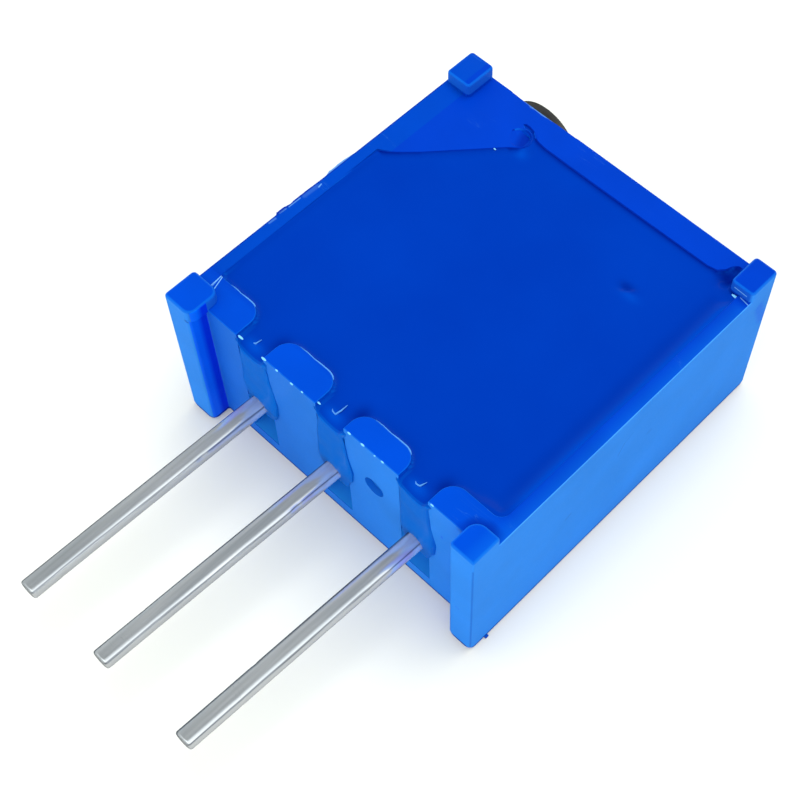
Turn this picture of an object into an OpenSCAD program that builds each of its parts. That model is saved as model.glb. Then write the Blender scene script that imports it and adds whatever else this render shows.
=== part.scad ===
// Square multi-turn trimmer potentiometer with a worm-driven wiper.
// The part lies on its front face: X runs along the row of pins, the pins point
// to -Y, the adjusting screw to +Y and the potted back faces up, to +Z.
// The origin is the centre of the front face. All sizes are in millimetres.

/* [Housing] */
// Width of the housing, along the row of pins
body_w = 9.53; // [9.2:0.01:10.2]
// Length from the tips of the standoff feet to the screw end
body_l = 10.03; // [9.8:0.01:10.8]
// Thickness from the front face to the tops of the corner pads
body_t = 4.83; // [4.75:0.01:5.4]
// Height of the corner pads above the rim
pad_h = 0.33; // [0.15:0.01:0.4]
// Length of the corner pads at the screw end
pad_l = 0.92; // [0.75:0.01:1.1]
// Width of the corner pad beside the screw
pad_w = 0.75; // [0.5:0.01:0.8]
// Width of the corner pad away from the screw
plain_pad_w = 0.64; // [0.5:0.01:0.7]
// Rounding of the upper edges of the pads
pad_edge_r = 0.08; // [0.04:0.01:0.12]
// How far the standoff feet stand out of the pin wall
foot_h = 0.51; // [0.3:0.01:0.7]
// Width of the standoff foot beside the screw
foot_w = 0.79; // [0.6:0.01:0.9]
// Width of the standoff foot away from the screw
plain_foot_w = 0.7; // [0.6:0.01:0.8]
// Thickness of the front wall under the gear
front_wall = 0.55; // [0.45:0.01:0.6]
// Thickness of the wall beside the screw
screw_side_wall = 0.32; // [0.25:0.01:0.35]
// Thickness of the wall opposite the screw
plain_side_wall = 0.36; // [0.3:0.01:0.4]
// Thickness of the wall that the screw comes out of
screw_wall = 0.7; // [0.6:0.01:0.75]
// Thickness of the wall that the pins come out of
pin_wall = 0.76; // [0.7:0.01:0.85]
// How far the screw wall and the corner web lie below the side rims
web_drop = 0.08; // [0.02:0.01:0.15]
// Length of the corner web along each wall, to its slanting edge
web_leg = 2.95; // [2.8:0.01:3.0]
// Radius of the round post at the end of the corner web
post_r = 0.3; // [0.2:0.01:0.34]
// Rounding of the front edges of the housing
edge_r = 0.25; // [0.1:0.01:0.3]
// Rounding of the upright corners of the housing
corner_r = 0.1; // [0.05:0.01:0.15]

/* [Pins] */
// Diameter of a pin
pin_d = 0.51; // [0.4:0.01:0.56]
// Distance between neighbouring pins
pin_pitch = 2.54; // [2.4:0.01:2.6]
// Length of a pin beyond the standoff feet
pin_len = 6.2; // [3:0.1:12]
// Height of the pin axes above the front face
pin_z = 2.125; // [2.1:0.005:2.2]
// Width of the flattened inner end of a pin
blade_w = 0.62; // [0.54:0.01:0.66]
// Thickness of the flattened inner end of a pin
blade_t = 0.33; // [0.25:0.01:0.4]
// Width of a pin's notch in the pin wall
notch_w = 0.88; // [0.8:0.01:0.95]
// Rounding of the inner corners of a notch
notch_r = 0.4; // [0.15:0.01:0.45]
// Height of the bottom of the recess under each pin
recess_z = 0.5; // [0.4:0.01:0.8]
// Depth of the recess under each pin
recess_d = 0.4; // [0.2:0.01:0.45]

/* [Adjusting screw] */
// Distance of the screw axis from the side of the housing
screw_inset = 1.3; // [1.28:0.01:1.34]
// Height of the screw axis above the front face
screw_z = 1.4; // [1.36:0.01:1.42]
// Diameter of the slotted head
head_d = 2.19; // [1.9:0.01:2.4]
// How far the head stands out of the housing
head_len = 1.52; // [1.2:0.01:2]
// Width of the driver slot
slot_w = 0.56; // [0.4:0.01:0.7]
// Depth of the driver slot
slot_depth = 0.76; // [0.4:0.01:0.9]
// Outer diameter of the worm thread
worm_d = 1.86; // [1.8:0.01:1.88]
// Diameter of the worm core
core_d = 1.0; // [0.96:0.01:1.02]
// Length of the worm thread
worm_len = 3.2; // [2.6:0.1:3.4]
// Diameter of the shaft where it turns in the housing
shaft_d = 1.9; // [1.88:0.01:1.92]
// Diameter of the bottom of the seal ring groove
ring_groove_d = 1.14; // [1.1:0.01:1.2]
// Width of the seal ring groove
ring_groove_w = 0.5; // [0.45:0.01:0.6]
// Distance of the seal ring from the outside of the screw wall
ring_inset = 1.3; // [1:0.05:1.7]
// Clearance of the seal ring on each side of its cord
ring_squeeze = 0.015; // [0.01:0.005:0.03]
// Diameter of the pilot end of the shaft
pilot_d = 0.98; // [0.9:0.01:0.98]
// Diameter of the neck that the retaining clip holds
neck_d = 0.6; // [0.5:0.01:0.66]
// Thickness of the retaining clip
clip_t = 0.2; // [0.15:0.01:0.25]

/* [Gear and wiper] */
// Number of teeth on the rotor gear
gear_teeth = 33; // [30:1:33]
// Tooth module of the worm drive
gear_module = 0.2; // [0.18:0.002:0.2]
// Face width of the gear teeth
tooth_face = 0.5; // [0.4:0.01:0.6]
// Thickness of the gear disc
gear_t = 0.7; // [0.6:0.01:0.7]
// Diameter of the gear hub
hub_d = 2.2; // [2:0.01:2.4]
// Diameter of the post that the gear turns on
pivot_d = 1.2; // [1:0.01:1.3]
// Angle that the wiper turns each way from the middle
wiper_half_turn = 136.4; // [120:0.1:137]
// Thickness of the wiper strip
wiper_t = 0.1; // [0.06:0.01:0.12]
// Width of one wiper finger
finger_w = 0.18; // [0.12:0.01:0.2]
// Distance of the wiper fingers from the films
wiper_gap = 0.01; // [0.01:0.005:0.03]

/* [Resistance element] */
// Thickness of the ceramic plate
plate_t = 0.64; // [0.5:0.01:0.7]
// Thickness of the printed films
film_t = 0.03; // [0.02:0.01:0.05]
// Mean radius of the resistance track
track_r = 2.6; // [2.5:0.01:2.7]
// Width of the resistance track
track_w = 0.5; // [0.4:0.01:0.6]
// Mean radius of the collector ring
collector_r = 0.85; // [0.8:0.01:0.9]
// Width of the collector ring
collector_w = 0.4; // [0.3:0.01:0.5]
// Width of the film strips that lead to the pins
electrode_w = 0.5; // [0.3:0.01:0.6]

/* [Fits] */
// Radial clearance of turning parts
run_gap = 0.03; // [0.02:0.005:0.04]
// Clearance around parts that drop into the housing
seat_gap = 0.03; // [0.02:0.005:0.05]
// How far the potting surface lies below the rim
potting_drop = 0.14; // [0.1:0.01:0.3]
// How far a run of potting stands out of the pin wall
bead_out = 0.14; // [0.08:0.01:0.2]
// Width of a run of potting over the pin wall
bead_w = 1.08; // [0.96:0.01:1.2]

/* [Hidden] */

$fn = 64;
// Small overlap that makes cuts run clean through a face
cut = 0.01;

// Planes of the housing
side_x = body_w / 2;
feet_y = -body_l / 2;
wall_y = feet_y + foot_h;
end_y = body_l / 2;
rim_z = body_t - pad_h;
web_z = rim_z - web_drop;
near_y = wall_y + pin_wall;
far_y = end_y - screw_wall;
left_x = -side_x + screw_side_wall;
right_x = side_x - plain_side_wall;
cavity_r = 0.2;

// Levels of the element: pins, then films, then the ceramic plate
pin_top_z = pin_z + pin_d / 2;
pin_low_z = pin_z - pin_d / 2;
plate_z = pin_top_z + film_t;
plate_top = plate_z + plate_t;
potting_z = rim_z - potting_drop;

// Worm drive: the worm lies beside the gear, with its axis at the gear's mid height
screw_x = -side_x + screw_inset;
bore_d = shaft_d + 2 * run_gap;
lead = PI * gear_module;
gear_pitch_r = gear_teeth * gear_module / 2;
gear_tip_r = gear_pitch_r + gear_module;
gear_root_r = gear_pitch_r - 1.25 * gear_module;
worm_pitch_r = worm_d / 2 - 0.9 * gear_module;
gear_room_r = gear_tip_r + 0.12;
room_to_wall = 0.15;
gear_x = screw_x + worm_pitch_r + gear_pitch_r;
gear_y = far_y - room_to_wall - gear_room_r;
gear_low_z = screw_z - gear_t / 2;
gear_top_z = screw_z + gear_t / 2;
hub_low_z = front_wall + run_gap;
tooth_flank = 20;
backlash = 0.03;

// Stations along the screw, from its pilot end to its head
pilot_end_y = near_y + 0.35;
clip_y = pilot_end_y + 0.9;
neck_w = clip_t + 2 * run_gap;
block_y = clip_y + 0.3;
worm_start_y = gear_y - worm_len / 2;
worm_end_y = gear_y + worm_len / 2;
land_y = worm_end_y + 0.25;
ring_y = end_y - ring_inset;
head_y = end_y + 0.05;
thread_steps = 24;

// Travel of the rotor: its lug meets the stop just past each end
lug_half_angle = 12;
stop_half_angle = 180 - wiper_half_turn - lug_half_angle - 1;
stop_h = 0.35;
stop_in_r = 1.5;
stop_out_r = 2.6;

// Films: the track is a little longer than the wiper's travel
track_half_angle = wiper_half_turn + 3;
electrode_half_angle = 5;
pin_reach = 0.6;
pin_end_y = near_y + pin_reach;
pad_film_w = notch_w + 0.07;
solder_cap = 0.06;
solder_len = 0.5;
groove_end_y = pin_end_y + solder_cap + 2 * seat_gap;

// The post at the end of the corner web, with a narrow gap to the screw wall:
// the web's slanting edge runs on to touch it
post_gap = 0.07;
post_y = far_y - post_r - post_gap;
post_x = left_x + web_leg - post_gap - post_r - sqrt(2) * post_r;

// Shallow round mark in the pin wall, between the second and third pins
mark_d = 0.58;
mark_depth = 0.15;
mark_x = pin_pitch / 2;
mark_z = (pin_top_z + rim_z) / 2 - 0.6;

function pin_x(i) = (i - 2) * pin_pitch;

// Rectangle with round corners, from its lowest to its highest corner
module round_rect(low, high, r) {
    for (x = [low[0] + r, high[0] - r], y = [low[1] + r, high[1] - r])
        translate([x, y]) circle(r);
    translate([low[0] + r, low[1]])
        square([high[0] - low[0] - 2 * r, high[1] - low[1]]);
    translate([low[0], low[1] + r])
        square([high[0] - low[0], high[1] - low[1] - 2 * r]);
}

// Block whose level edges are rounded with r and whose upright edges with upright_r
module soft_block(low, high, r, upright_r) {
    size = high - low;
    intersection() {
        translate([0, 0, low[2]]) linear_extrude(size[2])
            round_rect([low[0], low[1]], [high[0], high[1]], upright_r);
        translate([0, high[1], 0]) rotate([90, 0, 0]) linear_extrude(size[1])
            round_rect([low[0], low[2]], [high[0], high[2]], r);
        translate([low[0], 0, 0]) rotate([90, 0, 90]) linear_extrude(size[0])
            round_rect([low[1], low[2]], [high[1], high[2]], r);
    }
}

// Part of a ring, centred on an angle and reaching half_angle to each side
module ring_sector(inner_r, outer_r, mid, half_angle) {
    fan_steps = 2 * ceil(half_angle / 30);
    fan_r = 2 * outer_r;
    intersection() {
        difference() {
            circle(outer_r);
            circle(inner_r);
        }
        polygon(concat([[0, 0]], [
            for (k = [0:fan_steps])
                let (a = mid - half_angle + 2 * half_angle * k / fan_steps)
                fan_r * [cos(a), sin(a)]
        ]));
    }
}

// Cylinder along Y from y0 to y1 on the screw axis
module shaft_part(d, y0, y1) {
    translate([screw_x, y0, screw_z]) rotate([-90, 0, 0])
        cylinder(d = d, h = y1 - y0);
}

// Outer form of the housing below the rim, with its two standoff feet
module housing_block() {
    foot_root = 0.5;
    difference() {
        union() {
            soft_block([-side_x, wall_y, 0], [side_x, end_y, body_t], edge_r, corner_r);
            soft_block([-side_x, feet_y, 0],
                [-side_x + foot_w, wall_y + foot_root, body_t], edge_r, corner_r);
            soft_block([side_x - plain_foot_w, feet_y, 0],
                [side_x, wall_y + foot_root, body_t], edge_r, corner_r);
        }
        translate([-body_w, -body_l, rim_z]) cube([2 * body_w, 2 * body_l, body_t]);
        sloping_rim();
        lowered_web();
    }
}

// Space over the rim beside the screw, which slopes down towards the corner web
slope_w = 0.56;
module sloping_rim() {
    tilt = atan(web_drop / slope_w);
    translate([-side_x, near_y, rim_z]) rotate([0, tilt, 0])
        cube([slope_w / cos(tilt) + cut, body_l, 1]);
}

// Space over the corner web and the screw wall, which lie lower than the side rims
module lowered_web() {
    web_x = -side_x + slope_w;
    translate([web_x, far_y - web_leg - 1, web_z])
        cube([right_x - web_x, body_l, 1]);
}

// Pads at the four corners: the part can stand on them or on its feet
module corner_pads() {
    low_z = plate_top;
    soft_block([-side_x, end_y - pad_l, low_z], [-side_x + pad_w, end_y, body_t],
        pad_edge_r, corner_r);
    soft_block([side_x - plain_pad_w, end_y - pad_l, low_z], [side_x, end_y, body_t],
        pad_edge_r, corner_r);
    soft_block([-side_x, feet_y, low_z], [-side_x + foot_w, wall_y + foot_w / 2, body_t],
        pad_edge_r, corner_r);
    soft_block([side_x - plain_foot_w, feet_y, low_z], [side_x, wall_y, body_t],
        pad_edge_r, corner_r);
    translate([side_x - plain_foot_w / 2, wall_y - corner_r, low_z])
        cylinder(d = plain_foot_w, h = body_t - low_z);
}

// Plan of the corner web over the screw: its slanting edge ends in the round post
module corner_web_plan(gap = 0) {
    r = post_r + gap;
    end = [post_x, post_y] + r * [cos(-45), sin(-45)];
    reach = end[0] - left_x + 1;
    polygon([
        end, [post_x, post_y], [post_x - post_r / 2, far_y + 1],
        [left_x - 1, far_y + 1], end - [reach, reach]
    ]);
    translate([post_x, post_y]) circle(r);
}

// Plan of the cavity that takes the ceramic plate and the potting
module cavity_plan(gap = 0) {
    pad_x = side_x - plain_pad_w - gap;
    pad_y = end_y - pad_l - gap;
    difference() {
        round_rect([left_x + gap, near_y + gap], [right_x - gap, far_y - gap], cavity_r);
        corner_web_plan(gap);
        translate([pad_x, pad_y]) square([body_w, body_l]);
    }
}

// Notch in the pin wall, with round shoulders where it opens into the cavity
module notch_plan(x) {
    translate([x - notch_w / 2, wall_y - 1]) square([notch_w, pin_wall + 1 + cut]);
    for (side = [-1, 1])
        translate([x + side * notch_w / 2, near_y]) rotate(side > 0 ? -90 : 180)
            shoulder_cut(notch_r);
}

// What is cut from a square corner to leave it round, pointing to +X +Y
module shoulder_cut(r) {
    difference() {
        translate([-cut, -cut]) square(r + cut);
        translate([r, r]) circle(r);
    }
}

// Notches down to the pins, and the blind recesses below them
module pin_openings() {
    for (i = [1:3]) {
        translate([0, 0, pin_low_z]) linear_extrude(body_t) notch_plan(pin_x(i));
        translate([pin_x(i) - notch_w / 2, wall_y - 1, recess_z])
            cube([notch_w, 1 + recess_d, pin_low_z - recess_z + cut]);
    }
}

// Space under the ledge that carries the plate by its films: gear room, screw
// channel, clip slot and pin grooves
module lower_cavity() {
    translate([gear_x, gear_y, front_wall])
        cylinder(r = gear_room_r, h = pin_top_z - front_wall + cut);
    shaft_part(bore_d, block_y, end_y + 1);
    shaft_part(pilot_d + 2 * run_gap, pilot_end_y - 0.05, block_y + cut);
    intersection() {
        translate([screw_x - bore_d / 2, block_y, screw_z])
            cube([bore_d, body_l, pin_top_z - screw_z + cut]);
        linear_extrude(body_t) cavity_plan();
    }
    clip_slot_t = clip_t + 2 * seat_gap;
    translate([screw_x - bore_d / 2, clip_y - clip_slot_t / 2, front_wall])
        cube([bore_d, clip_slot_t, pin_top_z - front_wall + cut]);
    for (i = [1:3])
        translate([pin_x(i) - notch_w / 2, near_y - cut, pin_low_z])
            cube([notch_w, groove_end_y - near_y + cut, pin_d + cut]);
}

// Shallow round mark that the mould leaves in the pin wall
module wall_mark() {
    translate([mark_x, wall_y - cut, mark_z]) rotate([-90, 0, 0])
        cylinder(d = mark_d, h = mark_depth + cut);
}

// Post that the gear turns on, and the stop that ends its travel
module gear_post_and_stop() {
    translate([gear_x, gear_y, front_wall - cut]) {
        cylinder(d = pivot_d, h = gear_top_z - front_wall);
        linear_extrude(stop_h + cut) ring_sector(stop_in_r, stop_out_r, 270, stop_half_angle);
    }
}

module housing() {
    color("royalblue") union() {
        difference() {
            union() {
                housing_block();
                corner_pads();
            }
            translate([0, 0, pin_top_z]) linear_extrude(body_t) cavity_plan();
            lower_cavity();
            pin_openings();
            wall_mark();
        }
        gear_post_and_stop();
    }
}

// Run of potting that has come over a notch and down the outside of the pin wall
module potting_bead(x, low_z) {
    bead_r = (pow(bead_w / 2, 2) + pow(bead_out, 2)) / (2 * bead_out);
    intersection() {
        translate([x, wall_y - bead_out + bead_r, low_z])
            cylinder(r = bead_r, h = potting_z - low_z);
        translate([x - bead_w, wall_y - 1, low_z]) cube([2 * bead_w, 1, body_t]);
    }
}

module potting_seal() {
    low_z = pin_low_z + cut;
    notch_fill_w = notch_w - 2 * cut;
    color("mediumblue") difference() {
        union() {
            translate([0, 0, plate_top]) linear_extrude(potting_z - plate_top)
                cavity_plan(cut);
            for (i = [1:3]) {
                translate([pin_x(i) - notch_fill_w / 2, wall_y - 2 * cut, low_z])
                    cube([notch_fill_w, pin_wall + 2 * seat_gap, potting_z - low_z]);
                potting_bead(pin_x(i), pin_z);
            }
        }
        translate([-side_x, near_y + seat_gap / 2, low_z - 1])
            cube([body_w, body_l, plate_top - low_z + 1]);
        for (i = [1:3]) pin_shape(i);
    }
}

// Point of the worm thread at one step of its helix
function thread_point(step, out, along) =
    let (turn = 360 * step / thread_steps)
    [
        screw_x + out * cos(turn),
        worm_start_y + lead * step / thread_steps + along,
        screw_z - out * sin(turn)
    ];

// Worm thread: a helical ridge with sloping flanks, seated in the core
module worm_thread() {
    root_r = core_d / 2 - 0.04;
    tip_r = worm_d / 2;
    half_pitch_t = lead / 4 - backlash / 2;
    tip_half = half_pitch_t - (tip_r - worm_pitch_r) * tan(tooth_flank);
    root_half = half_pitch_t + (worm_pitch_r - root_r) * tan(tooth_flank);
    section = [[root_r, -root_half], [tip_r, -tip_half], [tip_r, tip_half], [root_r, root_half]];
    steps = round(worm_len / lead * thread_steps);
    points = [for (s = [0:steps], p = section) thread_point(s, p[0], p[1])];
    last = 4 * steps;
    faces = concat(
        [[3, 2, 1, 0], [last, last + 1, last + 2, last + 3]],
        [for (s = [0:steps - 1], k = [0:3])
            [4 * s + k, 4 * s + (k + 1) % 4, 4 * s + 4 + (k + 1) % 4, 4 * s + 4 + k]]
    );
    polyhedron(points, faces, convexity = 8);
}

module adjusting_screw() {
    half_neck = neck_w / 2;
    half_groove = ring_groove_w / 2;
    color("dimgray") difference() {
        union() {
            shaft_part(pilot_d, pilot_end_y, clip_y - half_neck);
            shaft_part(neck_d, clip_y - 2 * half_neck, clip_y + 2 * half_neck);
            shaft_part(pilot_d, clip_y + half_neck, block_y + cut);
            shaft_part(core_d, block_y, land_y + cut);
            worm_thread();
            shaft_part(shaft_d, land_y, ring_y - half_groove);
            shaft_part(ring_groove_d, ring_y - 2 * half_groove, ring_y + 2 * half_groove);
            shaft_part(shaft_d, ring_y + half_groove, head_y + cut);
            shaft_part(head_d, head_y, end_y + head_len);
        }
        translate([screw_x - head_d, end_y + head_len - slot_depth, screw_z - slot_w / 2])
            cube([2 * head_d, slot_depth + 1, slot_w]);
    }
}

// Rubber ring in the groove of the shaft
module shaft_seal_ring() {
    cord_d = (bore_d - ring_groove_d) / 2 - 2 * ring_squeeze;
    color("black") translate([screw_x, ring_y, screw_z]) rotate([-90, 0, 0])
        rotate_extrude() translate([(bore_d + ring_groove_d) / 4, 0]) circle(d = cord_d);
}

// Flat U of spring steel that drops over the neck of the shaft
module screw_retaining_clip() {
    clip_half = bore_d / 2 - seat_gap;
    mouth = neck_d + 2 * run_gap;
    clip_low = front_wall + seat_gap;
    color("silver") translate([screw_x, clip_y - clip_t / 2, 0]) difference() {
        translate([-clip_half, 0, clip_low])
            cube([2 * clip_half, clip_t, pin_top_z - clip_low]);
        translate([-mouth / 2, -cut, clip_low - cut])
            cube([mouth, clip_t + 2 * cut, screw_z - clip_low + cut]);
        translate([0, -cut, screw_z]) rotate([-90, 0, 0])
            cylinder(d = mouth, h = clip_t + 2 * cut);
    }
}

// How far an involute has turned from its base circle when it reaches a radius
function involute_angle(base_r, r) =
    let (a = acos(min(1, base_r / r))) tan(a) * 180 / PI - a;

// The worm thread leans across the straight teeth, which are thinner by this much
lean_allowance = tooth_face * lead / (2 * PI * worm_pitch_r);

// One side of a gear tooth, from root to tip, as radius and angle
function flank(side) =
    let (
        base_r = gear_pitch_r * cos(tooth_flank),
        thinner = (backlash + lean_allowance) / 2 / gear_pitch_r * 180 / PI,
        half = 90 / gear_teeth - thinner,
        at_pitch = involute_angle(base_r, gear_pitch_r)
    )
    [for (k = [0:4])
        let (r = gear_root_r + (gear_tip_r - gear_root_r) * k / 4)
        [r, side * (half + at_pitch - involute_angle(base_r, max(r, base_r)))]];

// A tooth lies in the gap of the worm thread that is nearest to the gear's own Y
gap_shift = (gear_y - worm_start_y) / lead - 0.5;
tooth_phase = 180 + (gap_shift - floor(gap_shift)) * 360 / gear_teeth;

module gear_teeth_plan() {
    tooth = concat(flank(-1), [for (k = [4:-1:0]) flank(1)[k]]);
    polygon([
        for (i = [0:gear_teeth - 1], p = tooth)
            let (a = tooth_phase + i * 360 / gear_teeth + p[1])
            p[0] * [cos(a), sin(a)]
    ]);
}

module rotor_gear() {
    color("ivory") translate([gear_x, gear_y, 0]) difference() {
        union() {
            translate([0, 0, screw_z - tooth_face / 2]) linear_extrude(tooth_face)
                gear_teeth_plan();
            translate([0, 0, gear_low_z]) cylinder(r = gear_root_r - 0.1, h = gear_t);
            translate([0, 0, hub_low_z])
                cylinder(d = hub_d, h = gear_low_z - hub_low_z + cut);
            translate([0, 0, hub_low_z]) linear_extrude(gear_low_z - hub_low_z + cut)
                ring_sector(stop_in_r, stop_out_r, 90, lug_half_angle);
        }
        translate([0, 0, -1]) cylinder(d = pivot_d + 2 * run_gap, h = body_t);
    }
}

// Spring finger of the wiper, from its foot on the disc up to the film
module wiper_finger(foot_r, tip_r, x) {
    rise = pin_top_z - wiper_gap - gear_top_z;
    run = abs(tip_r - foot_r);
    curl = 0.14;
    translate([x - finger_w / 2, foot_r, gear_top_z]) mirror([0, tip_r < foot_r ? 1 : 0, 0])
        rotate([90, 0, 90]) linear_extrude(finger_w) polygon([
            [-0.1, 0], [0.1, 0], [run, rise - wiper_t], [run + curl, rise - 1.8 * wiper_t],
            [run + curl, rise - 0.8 * wiper_t], [run, rise], [0, wiper_t], [-0.1, wiper_t]
        ]);
}

module wiper_contact() {
    disc_d = 3.1;
    finger_pitch = finger_w + 0.1;
    color("gold") translate([gear_x, gear_y, 0]) {
        translate([0, 0, gear_top_z]) linear_extrude(wiper_t) difference() {
            circle(d = disc_d);
            circle(d = pivot_d + 0.5);
        }
        for (k = [-1:1]) {
            wiper_finger(disc_d / 2 - 0.25, track_r, k * finger_pitch);
            mirror([0, 1, 0]) wiper_finger(disc_d / 2 - 0.2, collector_r, k * finger_pitch);
        }
    }
}

module ceramic_plate() {
    pad_corner = [side_x - plain_pad_w - right_x, end_y - pad_l - far_y];
    corner_cut = -(pad_corner[0] + pad_corner[1]) / sqrt(2) + seat_gap;
    color("white") translate([0, 0, plate_z]) linear_extrude(plate_t) difference() {
        cavity_plan(seat_gap);
        translate([right_x, far_y]) rotate(45) square(2 * corner_cut, center = true);
    }
}

// Film on the underside of the plate
module film(film_colour) {
    color(film_colour) translate([0, 0, pin_top_z]) linear_extrude(film_t) children();
}

// Plan of a stretch of the ring that the outer wiper fingers run on
module track_plan(mid, half_angle) {
    translate([gear_x, gear_y])
        ring_sector(track_r - track_w / 2, track_r + track_w / 2, mid, half_angle);
}

module resistance_track() {
    film("darkslategray") track_plan(90, track_half_angle);
}

// Film pad that a pin is soldered to
module film_pad(i) {
    translate([pin_x(i) - pad_film_w / 2, near_y + 0.08])
        square([pad_film_w, pin_end_y - near_y + 0.02]);
}

// Straight strip of film between two points
module film_strip(from, to) {
    run = to - from;
    translate(from) rotate(atan2(run[1], run[0])) translate([0, -electrode_w / 2])
        square([norm(run), electrode_w]);
}

// Electrode at one end of the track, down to its pin
module end_electrode(i) {
    side = i == 1 ? 1 : -1;
    mid = 90 + side * (track_half_angle + electrode_half_angle);
    end_point = [gear_x, gear_y] + track_r * [cos(mid), sin(mid)];
    film("silver") difference() {
        union() {
            track_plan(mid, electrode_half_angle);
            film_strip(end_point, [pin_x(i), pin_end_y - 0.2]);
            film_pad(i);
        }
        track_plan(90, track_half_angle);
    }
}

module collector_track() {
    film("silver") {
        translate([gear_x, gear_y]) difference() {
            circle(collector_r + collector_w / 2);
            circle(collector_r - collector_w / 2);
        }
        film_strip([gear_x, gear_y - collector_r], [pin_x(2), pin_end_y - 0.2]);
        film_pad(2);
    }
}

// Pin: round outside, and flattened where it lies in the housing under its film
module pin_shape(i) {
    translate([pin_x(i), feet_y - pin_len, pin_z]) rotate([-90, 0, 0])
        cylinder(d = pin_d, h = pin_len + foot_h + cut);
    translate([pin_x(i) - blade_w / 2, wall_y, pin_top_z - blade_t])
        cube([blade_w, pin_end_y - wall_y, blade_t]);
}

module terminal_pin(i) {
    color("lightgray") pin_shape(i);
}

// Solder that fills the corners between a pin's flat end and its film pad
module solder_joint(i) {
    wide = notch_w / 2 - seat_gap;
    waist = blade_w / 2 + 0.02;
    low_z = pin_top_z - blade_t * 0.8;
    color("gainsboro") difference() {
        translate([pin_x(i), pin_end_y + solder_cap, 0]) rotate([90, 0, 0])
            linear_extrude(solder_len) polygon([
                [-wide, pin_top_z], [-waist, low_z], [waist, low_z], [wide, pin_top_z]
            ]);
        pin_shape(i);
    }
}

housing();
potting_seal();
adjusting_screw();
shaft_seal_ring();
screw_retaining_clip();
rotor_gear();
wiper_contact();
ceramic_plate();
resistance_track();
collector_track();
end_electrode(1);  // end_electrode_1
end_electrode(3);  // end_electrode_3
terminal_pin(1);  // terminal_pin_1
terminal_pin(2);  // terminal_pin_2
terminal_pin(3);  // terminal_pin_3
solder_joint(1);  // solder_joint_1
solder_joint(2);  // solder_joint_2
solder_joint(3);  // solder_joint_3
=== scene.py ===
import math
import random

import bmesh
import bpy
import numpy as np
from mathutils import Matrix, Vector, noise


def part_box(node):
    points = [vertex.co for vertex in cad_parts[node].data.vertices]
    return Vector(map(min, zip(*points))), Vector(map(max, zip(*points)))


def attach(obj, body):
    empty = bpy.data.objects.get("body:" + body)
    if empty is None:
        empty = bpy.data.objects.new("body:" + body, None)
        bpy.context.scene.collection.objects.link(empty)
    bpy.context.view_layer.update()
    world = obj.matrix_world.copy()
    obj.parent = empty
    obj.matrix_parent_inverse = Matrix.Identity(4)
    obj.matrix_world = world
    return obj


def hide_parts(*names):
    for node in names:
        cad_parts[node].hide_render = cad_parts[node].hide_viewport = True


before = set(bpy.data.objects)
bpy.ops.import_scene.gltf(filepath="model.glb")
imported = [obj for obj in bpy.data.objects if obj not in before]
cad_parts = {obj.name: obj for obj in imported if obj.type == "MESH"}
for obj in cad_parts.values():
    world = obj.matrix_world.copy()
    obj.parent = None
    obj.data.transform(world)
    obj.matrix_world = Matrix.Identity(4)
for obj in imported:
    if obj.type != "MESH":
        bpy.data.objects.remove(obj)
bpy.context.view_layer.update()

print("frame loaded:", len(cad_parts), "nodes")

# Pieces are modelled in millimetres and brought to metres when they are settled
milli = 0.001
leastRound = 0.008
random.seed(7)


def boxOf(node):
    low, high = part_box(node)
    return low / milli, high / milli


def clearPick():
    if bpy.context.object and bpy.context.object.mode != "OBJECT":
        bpy.ops.object.mode_set(mode="OBJECT")
    bpy.ops.object.select_all(action="DESELECT")


def makeActive(piece):
    clearPick()
    piece.select_set(True)
    bpy.context.view_layer.objects.active = piece


def applyPlace(piece):
    makeActive(piece)
    bpy.ops.object.transform_apply(location=True, rotation=True, scale=True)
    return piece


def block(name, low, high):
    clearPick()
    low, high = Vector(low), Vector(high)
    bpy.ops.mesh.primitive_cube_add(size=1, location=(low + high) / 2)
    piece = bpy.context.object
    piece.name = name
    piece.scale = high - low
    return applyPlace(piece)


def rod(name, foot, radius, length, axis="Z", vertices=64):
    clearPick()
    turn = (-math.pi / 2, 0, 0) if axis == "Y" else (0, 0, 0)
    along = Vector((0, 1, 0)) if axis == "Y" else Vector((0, 0, 1))
    bpy.ops.mesh.primitive_cylinder_add(
        vertices=vertices, radius=radius, depth=length,
        location=Vector(foot) + along * length / 2, rotation=turn)
    piece = bpy.context.object
    piece.name = name
    return applyPlace(piece)


def stack(name, loops):
    # Loops of equally many points, from the lowest up: a filled circle takes the first
    # loop's place and is extruded from loop to loop. Each loop holds (x, y, z) points.
    clearPick()
    bpy.ops.mesh.primitive_circle_add(
        vertices=len(loops[0]), radius=1, fill_type="NGON", location=(0, 0, 0))
    piece = bpy.context.object
    piece.name = name
    bpy.ops.object.mode_set(mode="EDIT")
    bpy.ops.mesh.select_mode(type="VERT")
    bpy.ops.mesh.select_all(action="SELECT")
    shape = bmesh.from_edit_mesh(piece.data)
    place = shape.verts.layers.int.new("place")
    shape.verts.ensure_lookup_table()
    for k, vertex in enumerate(shape.verts):
        vertex[place] = k
        vertex.co = loops[0][k]
    bmesh.update_edit_mesh(piece.data)
    for loop in loops[1:]:
        bpy.ops.mesh.extrude_region_move(TRANSFORM_OT_translate={"value": (0, 0, 0)})
        shape = bmesh.from_edit_mesh(piece.data)
        place = shape.verts.layers.int["place"]
        for vertex in shape.verts:
            if vertex.select:
                vertex.co = loop[vertex[place]]
        bmesh.update_edit_mesh(piece.data)
    bpy.ops.mesh.select_all(action="SELECT")
    bpy.ops.mesh.normals_make_consistent(inside=False)
    bpy.ops.object.mode_set(mode="OBJECT")
    piece.data.attributes.remove(piece.data.attributes["place"])
    return piece


def atHeight(outline, z):
    return [(x, y, z) for x, y in outline]


def prism(name, outline, lowZ, highZ):
    return stack(name, [atHeight(outline, lowZ), atHeight(outline, highZ)])


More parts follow.
